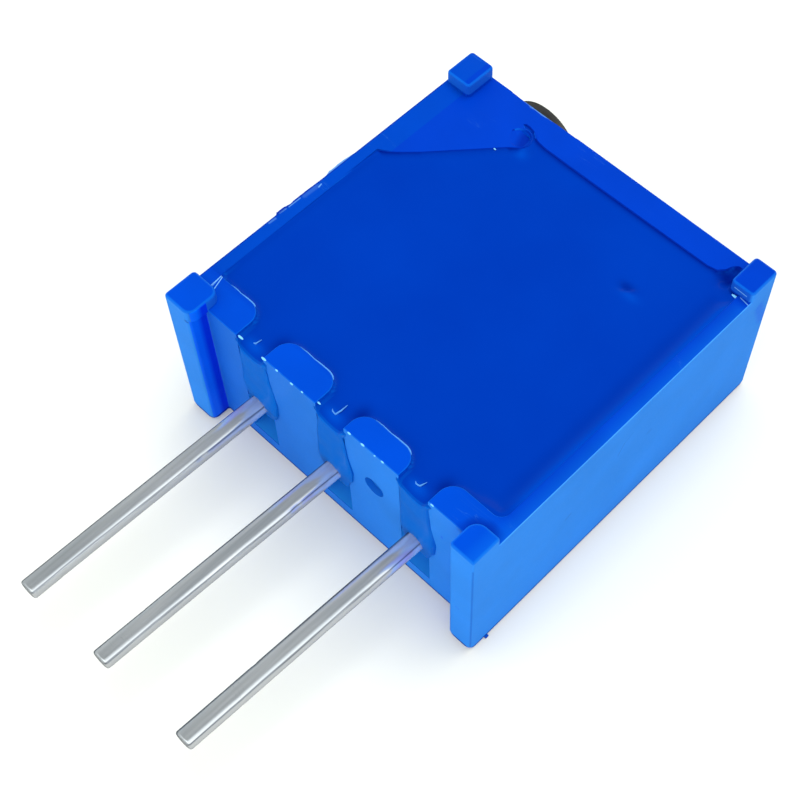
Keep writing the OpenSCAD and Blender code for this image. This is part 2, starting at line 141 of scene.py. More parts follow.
def roundedOutline(corners, inset=0.0, steps=6, least=leastRound):
    # Plan with square corners (x, y, radius), anticlockwise, moved inwards and rounded
    count = len(corners)
    points = []
    for k in range(count):
        before = Vector(corners[k - 1][:2])
        here = Vector(corners[k][:2])
        after = Vector(corners[(k + 1) % count][:2])
        inFrom = (here - before).normalized()
        outTo = (after - here).normalized()
        normalIn = Vector((-inFrom.y, inFrom.x))
        normalOut = Vector((-outTo.y, outTo.x))
        corner = here + (normalIn + normalOut) * inset
        convex = inFrom.x * outTo.y - inFrom.y * outTo.x > 0
        radius = corners[k][2]
        radius = max(radius - inset, least) if convex else radius + inset
        side = 1 if convex else -1
        centre = corner + (normalIn + normalOut) * radius * side
        for j in range(steps + 1):
            t = math.pi / 2 * j / steps
            ray = -(normalIn * math.cos(t) + normalOut * math.sin(t)) * side
            points.append(tuple(centre + ray * radius))
    return points


def roundedStack(name, corners, lowZ, highZ, lowRound, highRound, steps=6, ball=0.0):
    # Block over a rounded plan whose lower and upper edges are rounded as well; with a ball,
    # the upright edges grow rounder towards their lower ends
    ballHigh = 1.6 * ball

    def least(z):
        if not ball:
            return leastRound
        return max(leastRound, ball * max(0, 1 - (z - lowZ) / ballHigh) ** 1.5)

    loops = []
    if lowRound:
        for k in range(steps + 1):
            t = math.pi / 2 * k / steps
            inset = lowRound * (1 - math.sin(t))
            z = lowZ + lowRound * (1 - math.cos(t))
            loops.append(atHeight(roundedOutline(corners, inset, least=least(z)), z))
        if ball:
            heights = [lowZ + lowRound + (ballHigh - lowRound) * k / 4 for k in range(1, 5)]
            loops += [atHeight(roundedOutline(corners, least=least(z)), z) for z in heights]
    else:
        loops.append(atHeight(roundedOutline(corners), lowZ))
    if highRound:
        for k in range(steps + 1):
            t = math.pi / 2 * k / steps
            inset = highRound * (1 - math.cos(t))
            z = highZ - highRound * (1 - math.sin(t))
            loops.append(atHeight(roundedOutline(corners, inset), z))
    else:
        loops.append(atHeight(roundedOutline(corners), highZ))
    return stack(name, loops)


def bevelWhere(piece, width, segments, test):
    # Rounds the edges whose two ends both pass the test
    makeActive(piece)
    bpy.ops.object.mode_set(mode="EDIT")
    bpy.ops.mesh.select_mode(type="EDGE")
    bpy.ops.mesh.select_all(action="DESELECT")
    shape = bmesh.from_edit_mesh(piece.data)
    for edge in shape.edges:
        edge.select = test(edge.verts[0].co, edge.verts[1].co)
    bmesh.update_edit_mesh(piece.data)
    bpy.ops.mesh.bevel(offset=width, segments=segments, affect="EDGES", profile=0.5)
    bpy.ops.object.mode_set(mode="OBJECT")
    return piece


def carve(piece, tool, how="DIFFERENCE"):
    change = piece.modifiers.new("carve", "BOOLEAN")
    change.object = tool
    change.operation = how
    change.solver = "EXACT"
    makeActive(piece)
    bpy.ops.object.modifier_apply(modifier=change.name)
    bpy.data.objects.remove(tool)
    return piece


def mergeFlat(piece, angle=0.4, distance=0.0005):
    makeActive(piece)
    bpy.ops.object.mode_set(mode="EDIT")
    bpy.ops.mesh.select_all(action="SELECT")
    bpy.ops.mesh.remove_doubles(threshold=distance)
    bpy.ops.mesh.dissolve_limited(angle_limit=math.radians(angle))
    bpy.ops.object.mode_set(mode="OBJECT")
    return piece


def bevelAll(piece, width, segments=2, angle=35):
    change = piece.modifiers.new("round", "BEVEL")
    change.width = width
    change.segments = segments
    change.limit_method = "ANGLE"
    change.angle_limit = math.radians(angle)
    makeActive(piece)
    bpy.ops.object.modifier_apply(modifier=change.name)
    return piece


def flattenShading(piece, smooth):
    # Large faces keep their own shading and the narrow ones round off between them
    makeActive(piece)
    bpy.ops.object.shade_smooth_by_angle(angle=math.radians(smooth))
    change = piece.modifiers.new("shading", "WEIGHTED_NORMAL")
    change.keep_sharp = True
    change.weight = 90
    bpy.ops.object.modifier_apply(modifier=change.name)
    return piece


def settle(piece, name, body, replaced, material, smooth=32, flat=False):
    # Brings a piece to metres, smooths it and ties it to its body
    piece.data.transform(Matrix.Scale(milli, 4))
    piece.data.update()
    piece.name = name
    piece.data.name = name
    makeActive(piece)
    if flat:
        flattenShading(piece, smooth)
    else:
        bpy.ops.object.shade_smooth_by_angle(angle=math.radians(smooth))
    piece.data.materials.clear()
    piece.data.materials.append(material)
    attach(piece, body)
    if replaced:
        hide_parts(*replaced)
    clearPick()
    print(name, "settled:", len(piece.data.polygons), "faces")
    return piece


def arc(centre, radius, start, end, steps=8):
    # Points of an arc from one angle to another, in degrees
    return [(centre[0] + radius * math.cos(math.radians(start + (end - start) * k / steps)),
             centre[1] + radius * math.sin(math.radians(start + (end - start) * k / steps)))
            for k in range(steps + 1)]


# Planes of the housing, from the model's own boxes
housingLow, housingHigh = boxOf("housing")
sideX, feetY, endY, padTop = housingHigh.x, housingLow.y, housingHigh.y, housingHigh.z
pinX = [(boxOf(f"terminal_pin_{i}")[0].x + boxOf(f"terminal_pin_{i}")[1].x) / 2
        for i in (1, 2, 3)]
pinTip = boxOf("terminal_pin_2")[0].y

housingSizes = {
    "footOut": 0.51, "footWide": 0.79, "plainFootWide": 0.70, "padRise": 0.33, "padLip": 0.07,
    "webDrop": 0.08, "slopeWide": 0.56, "leftWall": 0.32, "rightWall": 0.36,
    "screwWall": 0.74, "notchWide": 0.88, "notchRound": 0.40,
    "bossRear": (-3.66, -3.715, -3.87, -3.76),
    "frontRound": 0.10, "cornerBall": 0.24, "cornerRound": 0.10, "footRound": 0.11,
    "crispRound": 0.045, "padRound": 0.08, "rimRound": 0.032, "innerRound": 0.05,
    # Pads over the screw and the plain corner, and how far back those on the feet reach
    "screwPadWide": 0.75, "plainPadWide": 0.64, "farPadLong": 0.92, "padRoot": 0.3,
    "plainPadY": -4.19, "plainPadRounds": (0.07, 0.30), "lipY": -4.09, "lipRounds": (0.22, 0.24),
    # Flash: start, end, how far out it stands and its thickness
    "flash": ((-1.62, -1.15, 0.058, 0.09), (-1.18, -0.14, 0.020, 0.12), (0.0, 0.98, 0.055, 0.03)),
    "flashBelow": 0.035, "flashRoot": 0.15,
    "stubY": (-4.53, -4.44), "stubHigh": 0.07, "stubOut": 0.04,
    "chipX": (-3.46, -1.20), "chipStart": -3.35, "chipLong": 2.05, "chipLow": 0.055,
    "chipLeast": 0.026, "chipMore": 0.062,
    "pinLow": 1.87, "pinTop": 2.38, "frontWall": 0.55, "recessLow": 0.5, "recessDeep": 0.40,
    "postCentre": (-2.29, 4.06), "postRound": 0.33, "postDimple": 0.29, "dimpleDeep": 0.09,
    "markAt": (1.29, 2.86), "markWide": 0.58, "markDeep": 0.15,
}
# Room round the gear, the clip and the screw inside the housing
driveRoom = {
    "gear": 0.12, "bore": 0.98, "boreFrom": 0.55, "pilot": 0.523, "pilotFrom": -0.063,
    "pilotLong": 1.9, "channelIn": 0.03, "channelFrom": 1.2, "channelTo": 0.12,
    "clipLow": (0.047, 0.043, 0.017), "clipHigh": (0.051, 0.039, 0.031),
    "post": 0.60, "postRound": 0.08, "postRoot": 0.05,
}
wallY = feetY + housingSizes["footOut"]
rimZ = padTop - housingSizes["padRise"]
webZ = rimZ - housingSizes["webDrop"]
leftX = -sideX + housingSizes["leftWall"]
rightX = sideX - housingSizes["rightWall"]
farY = endY - housingSizes["screwWall"]


def cavityOutline():
    # Plan of the opening that the resin fills, notches included, anticlockwise
    s = housingSizes
    half, r = s["notchWide"] / 2, s["notchRound"]
    rear = s["bossRear"]
    points = arc((leftX + 0.2, rear[0] + 0.2), 0.2, 180, 270, 5)
    for k, x in enumerate(pinX):
        points += arc((x - half - r, rear[k] - r), r, 90, 0, 8)
        points += [(x - half, wallY - 0.5), (x + half, wallY - 0.5)]
        points += arc((x + half + r, rear[k + 1] - r), r, 180, 90, 8)
    points += arc((rightX - 0.25, rear[3] + 0.25), 0.25, 270, 360, 6)
    points += [(rightX, 1.0), (rightX, 3.86)]
    points += arc((rightX - 0.12, 3.86), 0.12, 10, 90, 4)
    points += [(4.17, 4.02), (4.10, 4.10), (4.09, 4.40)]
    points += arc((3.93, 4.58), 0.15, 10, 150, 7)
    points += [(3.74, 4.50), (3.60, 4.34), (3.36, farY + 0.012), (2.4, farY - 0.004),
               (1.2, farY - 0.020), (0.1, farY - 0.034), (-0.9, farY - 0.044),
               (-1.62, farY - 0.036), (-1.86, farY - 0.006), (-2.03, farY + 0.050)]
    px, py = s["postCentre"]
    pr = s["postRound"]
    points += [(-2.16, 4.435), (-2.32, 4.475), (-2.44, 4.475), (-2.485, 4.445)]
    points += [(px + pr * math.cos(math.radians(a)), py + pr * math.sin(math.radians(a)))
               for a in range(108, -49, -12)]
    points += [(-2.27, 3.65), (-2.58, 3.305), (-3.21, 2.60), (-3.67, 2.095),
               (-4.02, 1.75), (-4.24, 1.555), (-4.37, 1.455), (leftX, 1.42), (leftX, -1.0)]
    return points


def cavityCutter():
    # The opening's edge flares out in a small rounding at the level of the rim round it
    s = housingSizes
    outline = cavityOutline()
    ring = s["rimRound"]
    count = len(outline)
    outwards, levels = [], []
    for k in range(count):
        a, b = Vector(outline[k - 1]), Vector(outline[(k + 1) % count])
        along = (b - a).normalized()
        outwards.append(Vector((along.y, -along.x)))
        x, y = outline[k]
        # The web and the screw wall lie lower than the other rims
        lower = 1 if (y > 1.2 and x < rightX - 0.15) else 0
        levels.append(rimZ - s["webDrop"] * lower)
    def ringAt(out, lift):
        return [(x + o.x * out, y + o.y * out, level + lift)
                for (x, y), o, level in zip(outline, outwards, levels)]
    loops = [atHeight(outline, s["pinTop"])]
    for k in range(5):
        t = math.pi / 2 * k / 4
        loops.append(ringAt(ring * (1 - math.cos(t)), ring * (math.sin(t) - 1) + 0.0006))
    loops.append(ringAt(ring + 0.0004, 0.02))
    top = ringAt(ring + 0.0004, 0)
    loops.append([(x, y, padTop + 1) for x, y, z in top])
    return stack("cavity", loops)


def makeHousing(material):
    s = housingSizes
    c, inner = s["cornerRound"], s["innerRound"]
    leftFoot, rightFoot = -sideX + s["footWide"], sideX - s["plainFootWide"]
    soft, crisp = s["footRound"], s["crispRound"]
    corners = [(-sideX, feetY, c), (leftFoot, feetY, soft), (leftFoot, wallY, inner),
               (rightFoot, wallY, inner), (rightFoot, feetY, c), (sideX, feetY, crisp),
               (sideX, endY, c), (-sideX, endY, c)]
    body = roundedStack("housingShell", corners, 0, rimZ, s["frontRound"], s["rimRound"],
                        ball=s["cornerBall"])
    # The web over the screw lies lower, and the rim beside the screw slopes down to it
    webX = -sideX + s["slopeWide"]
    edge = s["rimRound"]
    profile = [(0.9, webZ), (endY - edge, webZ)]
    profile += [(endY - edge + edge * math.sin(t), webZ - edge + edge * math.cos(t))
                for t in (0.39, 0.785, 1.18, 1.57)]
    profile += [(endY + 1, webZ - edge), (endY + 1, padTop + 1), (0.9, padTop + 1)]
    web = prism("webDrop", profile, webX, rightX)
    for vertex in web.data.vertices:
        y, z, x = vertex.co
        vertex.co = (x, y, z)
    tidyNormals(web)
    carve(body, web)
    slope = block("slope", (-sideX - 0.5, s["bossRear"][0], webZ),
                  (webX + 0.001, endY + 1, padTop + 1))
    for vertex in slope.data.vertices:
        if vertex.co.x < -sideX and vertex.co.z < rimZ:
            vertex.co.z = rimZ + 0.5 * s["webDrop"] / s["slopeWide"]
    carve(body, slope)
    addPads(body)
    addFlash(body)
    # Opening for the element and the resin, then the notches, recesses and the drive's room
    carve(body, cavityCutter())
    half = s["notchWide"] / 2
    for x in pinX:
        carve(body, block("notchFoot", (x - half, wallY - 1, s["pinLow"]),
                          (x + half, wallY + 1.6, s["pinTop"] + 0.01)))
        carve(body, block("recess", (x - half, wallY - 1, s["recessLow"]),
                          (x + half, wallY + s["recessDeep"], s["pinLow"] + 0.01)))
    markX, markZ = s["markAt"]
    carve(body, rod("mark", (markX, wallY - 1, markZ), s["markWide"] / 2, 1 + s["markDeep"],
                    "Y", 40))
    hollowForDrive(body)
    nickEdges(body)
    dimplePost(body)
    mergeFlat(body)
    return settle(body, "housingShell", "case", ["housing"], material, 34,
                  True)


def tidyNormals(piece):
    makeActive(piece)
    bpy.ops.object.mode_set(mode="EDIT")
    bpy.ops.mesh.select_all(action="SELECT")
    bpy.ops.mesh.normals_make_consistent(inside=False)
    bpy.ops.object.mode_set(mode="OBJECT")


def addPads(body):
    s = housingSizes
    low, c = rimZ - s["padRoot"], s["cornerRound"]
    screwX, plainX = -sideX + s["screwPadWide"], sideX - s["plainPadWide"]
    padY, rearY = endY - s["farPadLong"], s["plainPadY"]
    crispRear, softRear = s["plainPadRounds"]
    leftFoot, rightFoot = -sideX + s["footWide"], sideX - s["plainFootWide"]
    plans = [
        [(-sideX, padY, c), (screwX, padY, c), (screwX, endY, c), (-sideX, endY, c)],
        [(plainX, padY, c), (sideX, padY, c), (sideX, endY, c), (plainX, endY, c)],
        [(rightFoot, feetY, c), (sideX, feetY, s["crispRound"]), (sideX, rearY, crispRear),
         (rightFoot, rearY, softRear)],
    ]
    for plan in plans:
        carve(body, roundedStack("pad", plan, low, padTop, 0, s["padRound"]), "UNION")
    # The pad on the foot beside the screw stands a little proud of the foot's inner face
    lip = leftFoot + s["padLip"]
    frontRound, rearRound = s["lipRounds"]
    plan = [(-sideX, feetY, c), (lip, feetY, frontRound), (lip, s["lipY"], rearRound),
            (-sideX, s["lipY"], c)]
    carve(body, roundedStack("pad", plan, rimZ - 0.05, padTop, 0, s["padRound"]), "UNION")


def addFlash(body):
    # Thin flash that the mould left on the outer edge of the rim beside the screw
    s = housingSizes
    rootX, topZ = -sideX + s["flashRoot"], rimZ - s["flashBelow"]
    steps = 14
    for start, end, out, thick in s["flash"]:
        outline = [(rootX, end), (rootX, start)]
        for k in range(steps + 1):
            t = k / steps
            swell = min(1, 7 * t, 2.5 * (1 - t)) * (0.72 + 0.28 * random.random())
            outline.append((-sideX - out * swell - 0.004, start + (end - start) * t))
        carve(body, prism("flash", outline, topZ - thick, topZ), "UNION")
    # A stub of the mould's runner on the front edge of the plain side
    stub = block("stub", (sideX - 0.1, s["stubY"][0], 0.0),
                 (sideX + s["stubOut"], s["stubY"][1], s["stubHigh"]))
    carve(body, stub, "UNION")


def nickEdges(body):
    # Chipped edge of the screw wall, above the screw's head
    s = housingSizes
    start, end = s["chipX"]
    outline = [(start, endY + 0.3), (start + 0.04, endY - 0.01)]
    steps = 16
    for k in range(steps + 1):
        t = k / steps
        swell = math.sin(math.pi * min(1, 1.25 * t)) ** 2
        deep = s["chipLeast"] + s["chipMore"] * swell * (0.5 + 0.5 * random.random())
        outline.append((s["chipStart"] + s["chipLong"] * t, endY - deep))
    outline += [(end - 0.04, endY - 0.01), (end, endY + 0.3)]
    outline.reverse()
    carve(body, prism("chip", outline, webZ - s["chipLow"], padTop + 0.5))


def dimplePost(body):
    # The round post at the web's end is sunk a little, deepest at its outer right side
    s = housingSizes
    px, py = s["postCentre"]
    wide, deep = s["postDimple"], s["dimpleDeep"]
    points = [(px + wide * math.cos(a), py + wide * math.sin(a))
              for a in (math.tau * k / 48 for k in range(48))]
    low = []
    for x, y in points:
        slant = ((x - px) * 0.72 + (y - py) * 0.69) / wide
        low.append((px + (x - px) * 0.9, py + (y - py) * 0.9,
                    webZ - deep * (0.5 + 0.5 * slant) + 0.002))
    top = [(x, y, webZ + 0.003) for x, y in points]
    carve(body, stack("dimple", [low, top, [(x, y, z + 1) for x, y, z in top]]))


def hollowForDrive(body):
    # Room for the gear, the screw and its clip, as in the model
    g = driveRoom
    low, high = housingSizes["frontWall"], housingSizes["pinTop"]
    clipLow, clipHigh = boxOf("screw_retaining_clip")
    (lx, ly, lz), (hx, hy, hz) = g["clipLow"], g["clipHigh"]
    carve(body, block("clipSlot", (clipLow.x - lx, clipLow.y - ly, low - lz),
                      (clipHigh.x + hx, clipHigh.y + hy, high + hz)))
    gearLow, gearHigh = boxOf("rotor_gear")
    centre = (gearLow + gearHigh) / 2
    room = (gearHigh.x - gearLow.x) / 2 + g["gear"]
    carve(body, rod("gearRoom", (centre.x, centre.y, low), room, high - low + 0.01, "Z", 96))
    screwLow, screwHigh = boxOf("adjusting_screw")
    axis = (screwLow + screwHigh) / 2
    carve(body, rod("bore", (axis.x, screwLow.y + g["boreFrom"], axis.z), g["bore"], 10,
                    "Y", 64))
    carve(body, rod("pilot", (axis.x, screwLow.y + g["pilotFrom"], axis.z), g["pilot"],
                    g["pilotLong"], "Y", 36))
    channel = g["bore"] - g["channelIn"]
    carve(body, block("channel", (axis.x - channel, screwLow.y + g["channelFrom"], axis.z),
                      (axis.x + channel, farY - g["channelTo"], high + 0.01)))
    post = rod("gearPost", (centre.x, centre.y, low - g["postRoot"]), g["post"],
               gearHigh.z - low - g["postRoot"], "Z", 48)
    bevelWhere(post, g["postRound"], 2, lambda a, b: min(a.z, b.z) > 1)
    carve(body, post, "UNION")


resinLooks = {
    "level": 4.315, "rise": 0.14, "riseReach": 0.14, "bossReach": 0.07, "dish": 0.035,
    "ripple": 0.010, "rippleSize": 1.4, "spacing": 0.046,
    "dentAt": (2.37, 2.63), "dentDeep": 0.075, "dentWide": 0.16,
    "notchSag": 0.13, "floor": 3.07, "innerY": -4.20,
    "lipY": -4.37, "lipRound": 0.16, "tongueHalf": 0.60, "proud": 0.055,
    "ridge": 0.020,
    "lipThreads": [
        [(-2.93, -3.98, 4.27), (-2.91, -4.12, 4.25), (-2.85, -4.25, 4.21), (-2.75, -4.29, 4.20),
         (-2.64, -4.26, 4.22), (-2.60, -4.10, 4.25)],
        [(-0.24, -4.18, 4.24), (-0.16, -4.27, 4.21), (-0.06, -4.28, 4.20), (-0.02, -4.15, 4.23),
         (0.0, -3.95, 4.27)],
        [(2.30, -4.20, 4.24), (2.40, -4.28, 4.21), (2.50, -4.26, 4.21), (2.56, -4.10, 4.24)]],
    # Each bead is x, y, z and radius
    "beads": [
        (-2.07, -4.50, 4.49, 0.036), (-1.65, -4.505, 4.49, 0.022), (-1.17, -4.51, 4.48, 0.026),
        (-0.85, -4.50, 4.49, 0.020), (-0.52, -4.47, 4.47, 0.030), (-0.41, -4.42, 4.45, 0.026),
        (0.62, -4.50, 4.48, 0.030), (1.03, -4.505, 4.49, 0.028), (1.40, -4.51, 4.48, 0.020),
        (1.63, -4.505, 4.49, 0.022), (3.10, -4.50, 4.48, 0.026), (-2.87, -4.46, 4.46, 0.034),
        (4.37, 4.03, 4.45, 0.050), (-2.47, 3.385, 4.425, 0.024), (-3.12, -3.58, 4.31, 0.018)],
    # Painted shade and light in places: strength, x, y and the reach along each
    "shadeAndLightSpots": [(-0.9, 3.92, 4.42, 0.24, 0.20), (0.45, -1.96, 3.76, 0.16, 0.13),
                  (0.35, 2.56, 2.47, 0.26, 0.12), (-0.60, 2.37, 2.63, 0.20, 0.12)],
    "tongues": [
        {"left": ((4.5, -2.90), (3.8, -2.96), (2.8, -3.02), (2.2, -2.93), (1.9, -2.84)),
         "right": ((4.5, -2.04), (3.5, -1.97), (2.63, -1.82), (2.2, -1.84), (1.9, -1.98)),
         "foot": 1.72, "lean": 0.30},
        {"left": ((4.5, -0.36), (3.1, -0.52), (2.3, -0.53), (1.9, -0.40), (1.7, -0.2)),
         "right": ((4.5, 0.40), (3.2, 0.53), (2.6, 0.67), (2.2, 0.63), (1.9, 0.48)),
         "foot": 1.66, "lean": 0.25},
        {"left": ((4.5, 2.10), (3.3, 2.09), (2.4, 2.11), (2.0, 2.16), (1.75, 2.3)),
         "right": ((4.5, 2.97), (3.3, 3.07), (2.6, 3.22), (2.1, 3.18), (1.8, 3.02)),
         "foot": 1.58, "lean": 0.30},
    ],
}


def distanceTo(outline, xs, ys):
    # Distance of many points to a closed outline, positive inside it
    a = np.array(outline, float)
    b = np.roll(a, -1, axis=0)
    best = np.full(xs.shape, 1e9)
    inside = np.zeros(xs.shape, bool)
    for (ax, ay), (bx, by) in zip(a, b):
        dx, dy = bx - ax, by - ay
        size = dx * dx + dy * dy
        if size < 1e-12:
            continue
        t = np.clip(((xs - ax) * dx + (ys - ay) * dy) / size, 0, 1)
        best = np.minimum(best, np.hypot(xs - ax - t * dx, ys - ay - t * dy))
        crosses = (ay > ys) != (by > ys)
        with np.errstate(divide="ignore", invalid="ignore"):
            at = ax + (ys - ay) * dx / (dy if dy else 1e-12)
        inside ^= crosses & (xs < at)
    return np.where(inside, best, -best)


def resinHeight(xs, ys, outline):
    # Height of the resin's surface over the plan: a shallow dish that climbs its walls
    r = resinLooks
    d = distanceTo(outline, xs, ys)
    z = r["level"] + r["dish"] * (((xs / 4.4) ** 2 + (ys / 4.2) ** 2) / 2 - 0.5)
    ripple = np.array([noise.noise(Vector((x, y, 3.0)) / r["rippleSize"])
                       for x, y in zip(xs, ys)])
    z = z + r["ripple"] * ripple
    for x in pinX:  # the resin sinks towards each notch
        near = np.exp(-((xs - x - 0.08) / 0.42) ** 2) / (1 + np.exp((ys + 3.78) / 0.16))
        z = z - r["notchSag"] * near
    dx, dy = xs - r["dentAt"][0], ys - r["dentAt"][1]
    along, across = 0.72 * dx + 0.69 * dy, 0.69 * dx - 0.72 * dy
    spread = np.hypot(along * 0.75, across * 1.5) / r["dentWide"]
    z = z - r["dentDeep"] * np.exp(-spread ** 2)
    lip = np.hypot(dx - 0.12, dy + 0.14) / r["dentWide"]
    z = z + 0.3 * r["dentDeep"] * np.exp(-lip ** 2)
    # Beside the screw-side notch walls the surface dips into short valleys
    for x in pinX:
        valley = np.hypot((xs - x - 0.38) / 0.22, (ys + 3.98) / 0.22)
        z = z - 0.06 * np.exp(-valley ** 2)
    hollow = np.hypot((xs - 3.92) / 0.30, (ys - 4.42) / 0.26)
    z = z - 0.16 * np.exp(-hollow ** 2)
    plainSide = 1 / (1 + np.exp(-(xs - 3.7) / 0.12)) / (1 + np.exp((ys - 3.7) / 0.1))
    bossSide = 1 / (1 + np.exp((ys + 3.1) / 0.1))
    reach = r["riseReach"] * (1 - bossSide) + r["bossReach"] * bossSide
    climb = r["rise"] * np.exp(-np.maximum(d, 0) / reach)
    gentle = 0.185 * np.exp(-(np.maximum(d, 0) / 0.24) ** 2)
    climb = climb * (1 - plainSide) + plainSide * gentle
    # The web and the screw wall are lower, so the resin stops lower against them
    webSide = 1 / (1 + np.exp(-(ys - 1.2) / 0.2))
    nearRight = 1 / (1 + np.exp(-(xs - 3.9) / 0.1))
    limit = rimZ - 0.022 - (housingSizes["webDrop"] - 0.004) * webSide * (1 - nearRight)
    limit = limit + 0.018 * plainSide
    z = np.minimum(z + climb, limit)
    outside = np.minimum(d, 0)
    return z + 0.35 * outside, d


def edgeAt(table, z):
    # Place of a tongue's edge at a height, smooth between its points
    zs = [p[0] for p in table][::-1]
    xs = [p[1] for p in table][::-1]
    return np.interp(z, zs, xs)


def tube(name, points, radius, sides=8):
    # Thin thread along a path, thinner at both ends
    points = [Vector(p) for p in points]
    loops = []
    for k, here in enumerate(points):
        along = (points[min(k + 1, len(points) - 1)] - points[max(k - 1, 0)]).normalized()
        side = along.cross(Vector((0, 0, 1))).normalized()
        up = side.cross(along)
        t = k / (len(points) - 1)
        size = radius * (0.25 + 0.75 * min(1, 5 * t, 5 * (1 - t)))
        loops.append([tuple(here + (side * math.cos(a) + up * math.sin(a)) * size)
                      for a in (math.tau * j / sides for j in range(sides))])
    return stack(name, loops)


def joinInto(piece, extras):
    makeActive(piece)
    for extra in extras:
        extra.select_set(True)
    bpy.context.view_layer.objects.active = piece
    bpy.ops.object.join()
    clearPick()


def addRidges(sheet):
    # Raised threads where the resin laps the bosses' rear corners, and beads on their fronts
    s = housingSizes
    half, r = s["notchWide"] / 2, s["notchRound"]
    extras = []
    for k, (start, last) in enumerate(((-4.05, 66), (-1.72, 50), (0.80, 52))):
        rear = s["bossRear"][k]
        centre = (pinX[k] - half - r, rear - r)
        height = rimZ - 0.022
        path = [(start + (centre[0] - start) * j / 4, rear + 0.012 * math.sin(2.2 * j), height)
                for j in range(4)]
        path += atHeight(arc(centre, r + 0.004, 90, last, 7), height)
        extras.append(tube("ridge", path, resinLooks["ridge"]))
    for path in resinLooks["lipThreads"]:
        # Small upturned edges at the notches' lips
        extras.append(tube("lip", path, resinLooks["ridge"] * 1.1))
    threads = sum(len(extra.data.vertices) for extra in extras)
    for x, y, z, size in resinLooks["beads"]:
        clearPick()
        bpy.ops.mesh.primitive_uv_sphere_add(
            segments=12, ring_count=8, radius=size, location=(x, y, z))
        bead = bpy.context.object
        bead.scale = (1.2 + 1.3 * random.random(), 0.8, 0.6)
        extras.append(applyPlace(bead))
    joinInto(sheet, extras)
    return threads


def shadeResin(sheet, outline, firstExtra, threads):
    # Tone per vertex, dark from -1 to light at 1 and highlight at 2: painted shade along the far
    # and web borders, in the notch valleys and the dent, painted light on the plain side's rim, at
    # the notches' lips and in a few spots, and painted highlights on the threads and beads
    count = len(sheet.data.vertices)
    co = np.zeros(count * 3)
    sheet.data.vertices.foreach_get("co", co)
    x, y, z = co.reshape(-1, 3).T
    d = distanceTo(outline, x, y)
    step = 0.02
    gx = (distanceTo(outline, x + step, y) - d) / step
    gy = (distanceTo(outline, x, y + step) - d) / step
    faces = np.clip((-gy - 0.5 * gx - 0.2) / 0.25, 0, 1)
    tone = -faces * np.exp(-(np.maximum(d, 0) / 0.075) ** 2) * (y > 1.4) * (x < 4.0)
    along = (y > -3.5) & (y < 3.95)
    ease = np.clip((y + 3.5) / 0.5, 0, 1) * np.clip((3.95 - y) / 0.3, 0, 1)
    tone -= 0.16 * along * ease * np.exp(-((x - 4.02) / 0.17) ** 2)
    tone += 0.34 * along * ease * np.clip((x - 4.08) / 0.36, 0, 1)
    spots = list(resinLooks["shadeAndLightSpots"])
    for px in pinX:
        spots += [(-0.75, px + 0.40, -3.95, 0.20, 0.24), (0.55, px - 0.05, -4.32, 0.26, 0.13)]
    for amount, sx, sy, wideX, wideY in spots:
        tone += amount * np.exp(-((x - sx) / wideX) ** 2 - ((y - sy) / wideY) ** 2)
    tone[z < 4.0] = 0
    # Beads and threads are painted as highlights
    tone[firstExtra:] = 2
    tone[firstExtra:firstExtra + threads] = 1.42
    layer = sheet.data.attributes.new("tone", "FLOAT", "POINT")
    layer.data.foreach_set("value", np.clip(tone, -1, 2).astype(np.float32))


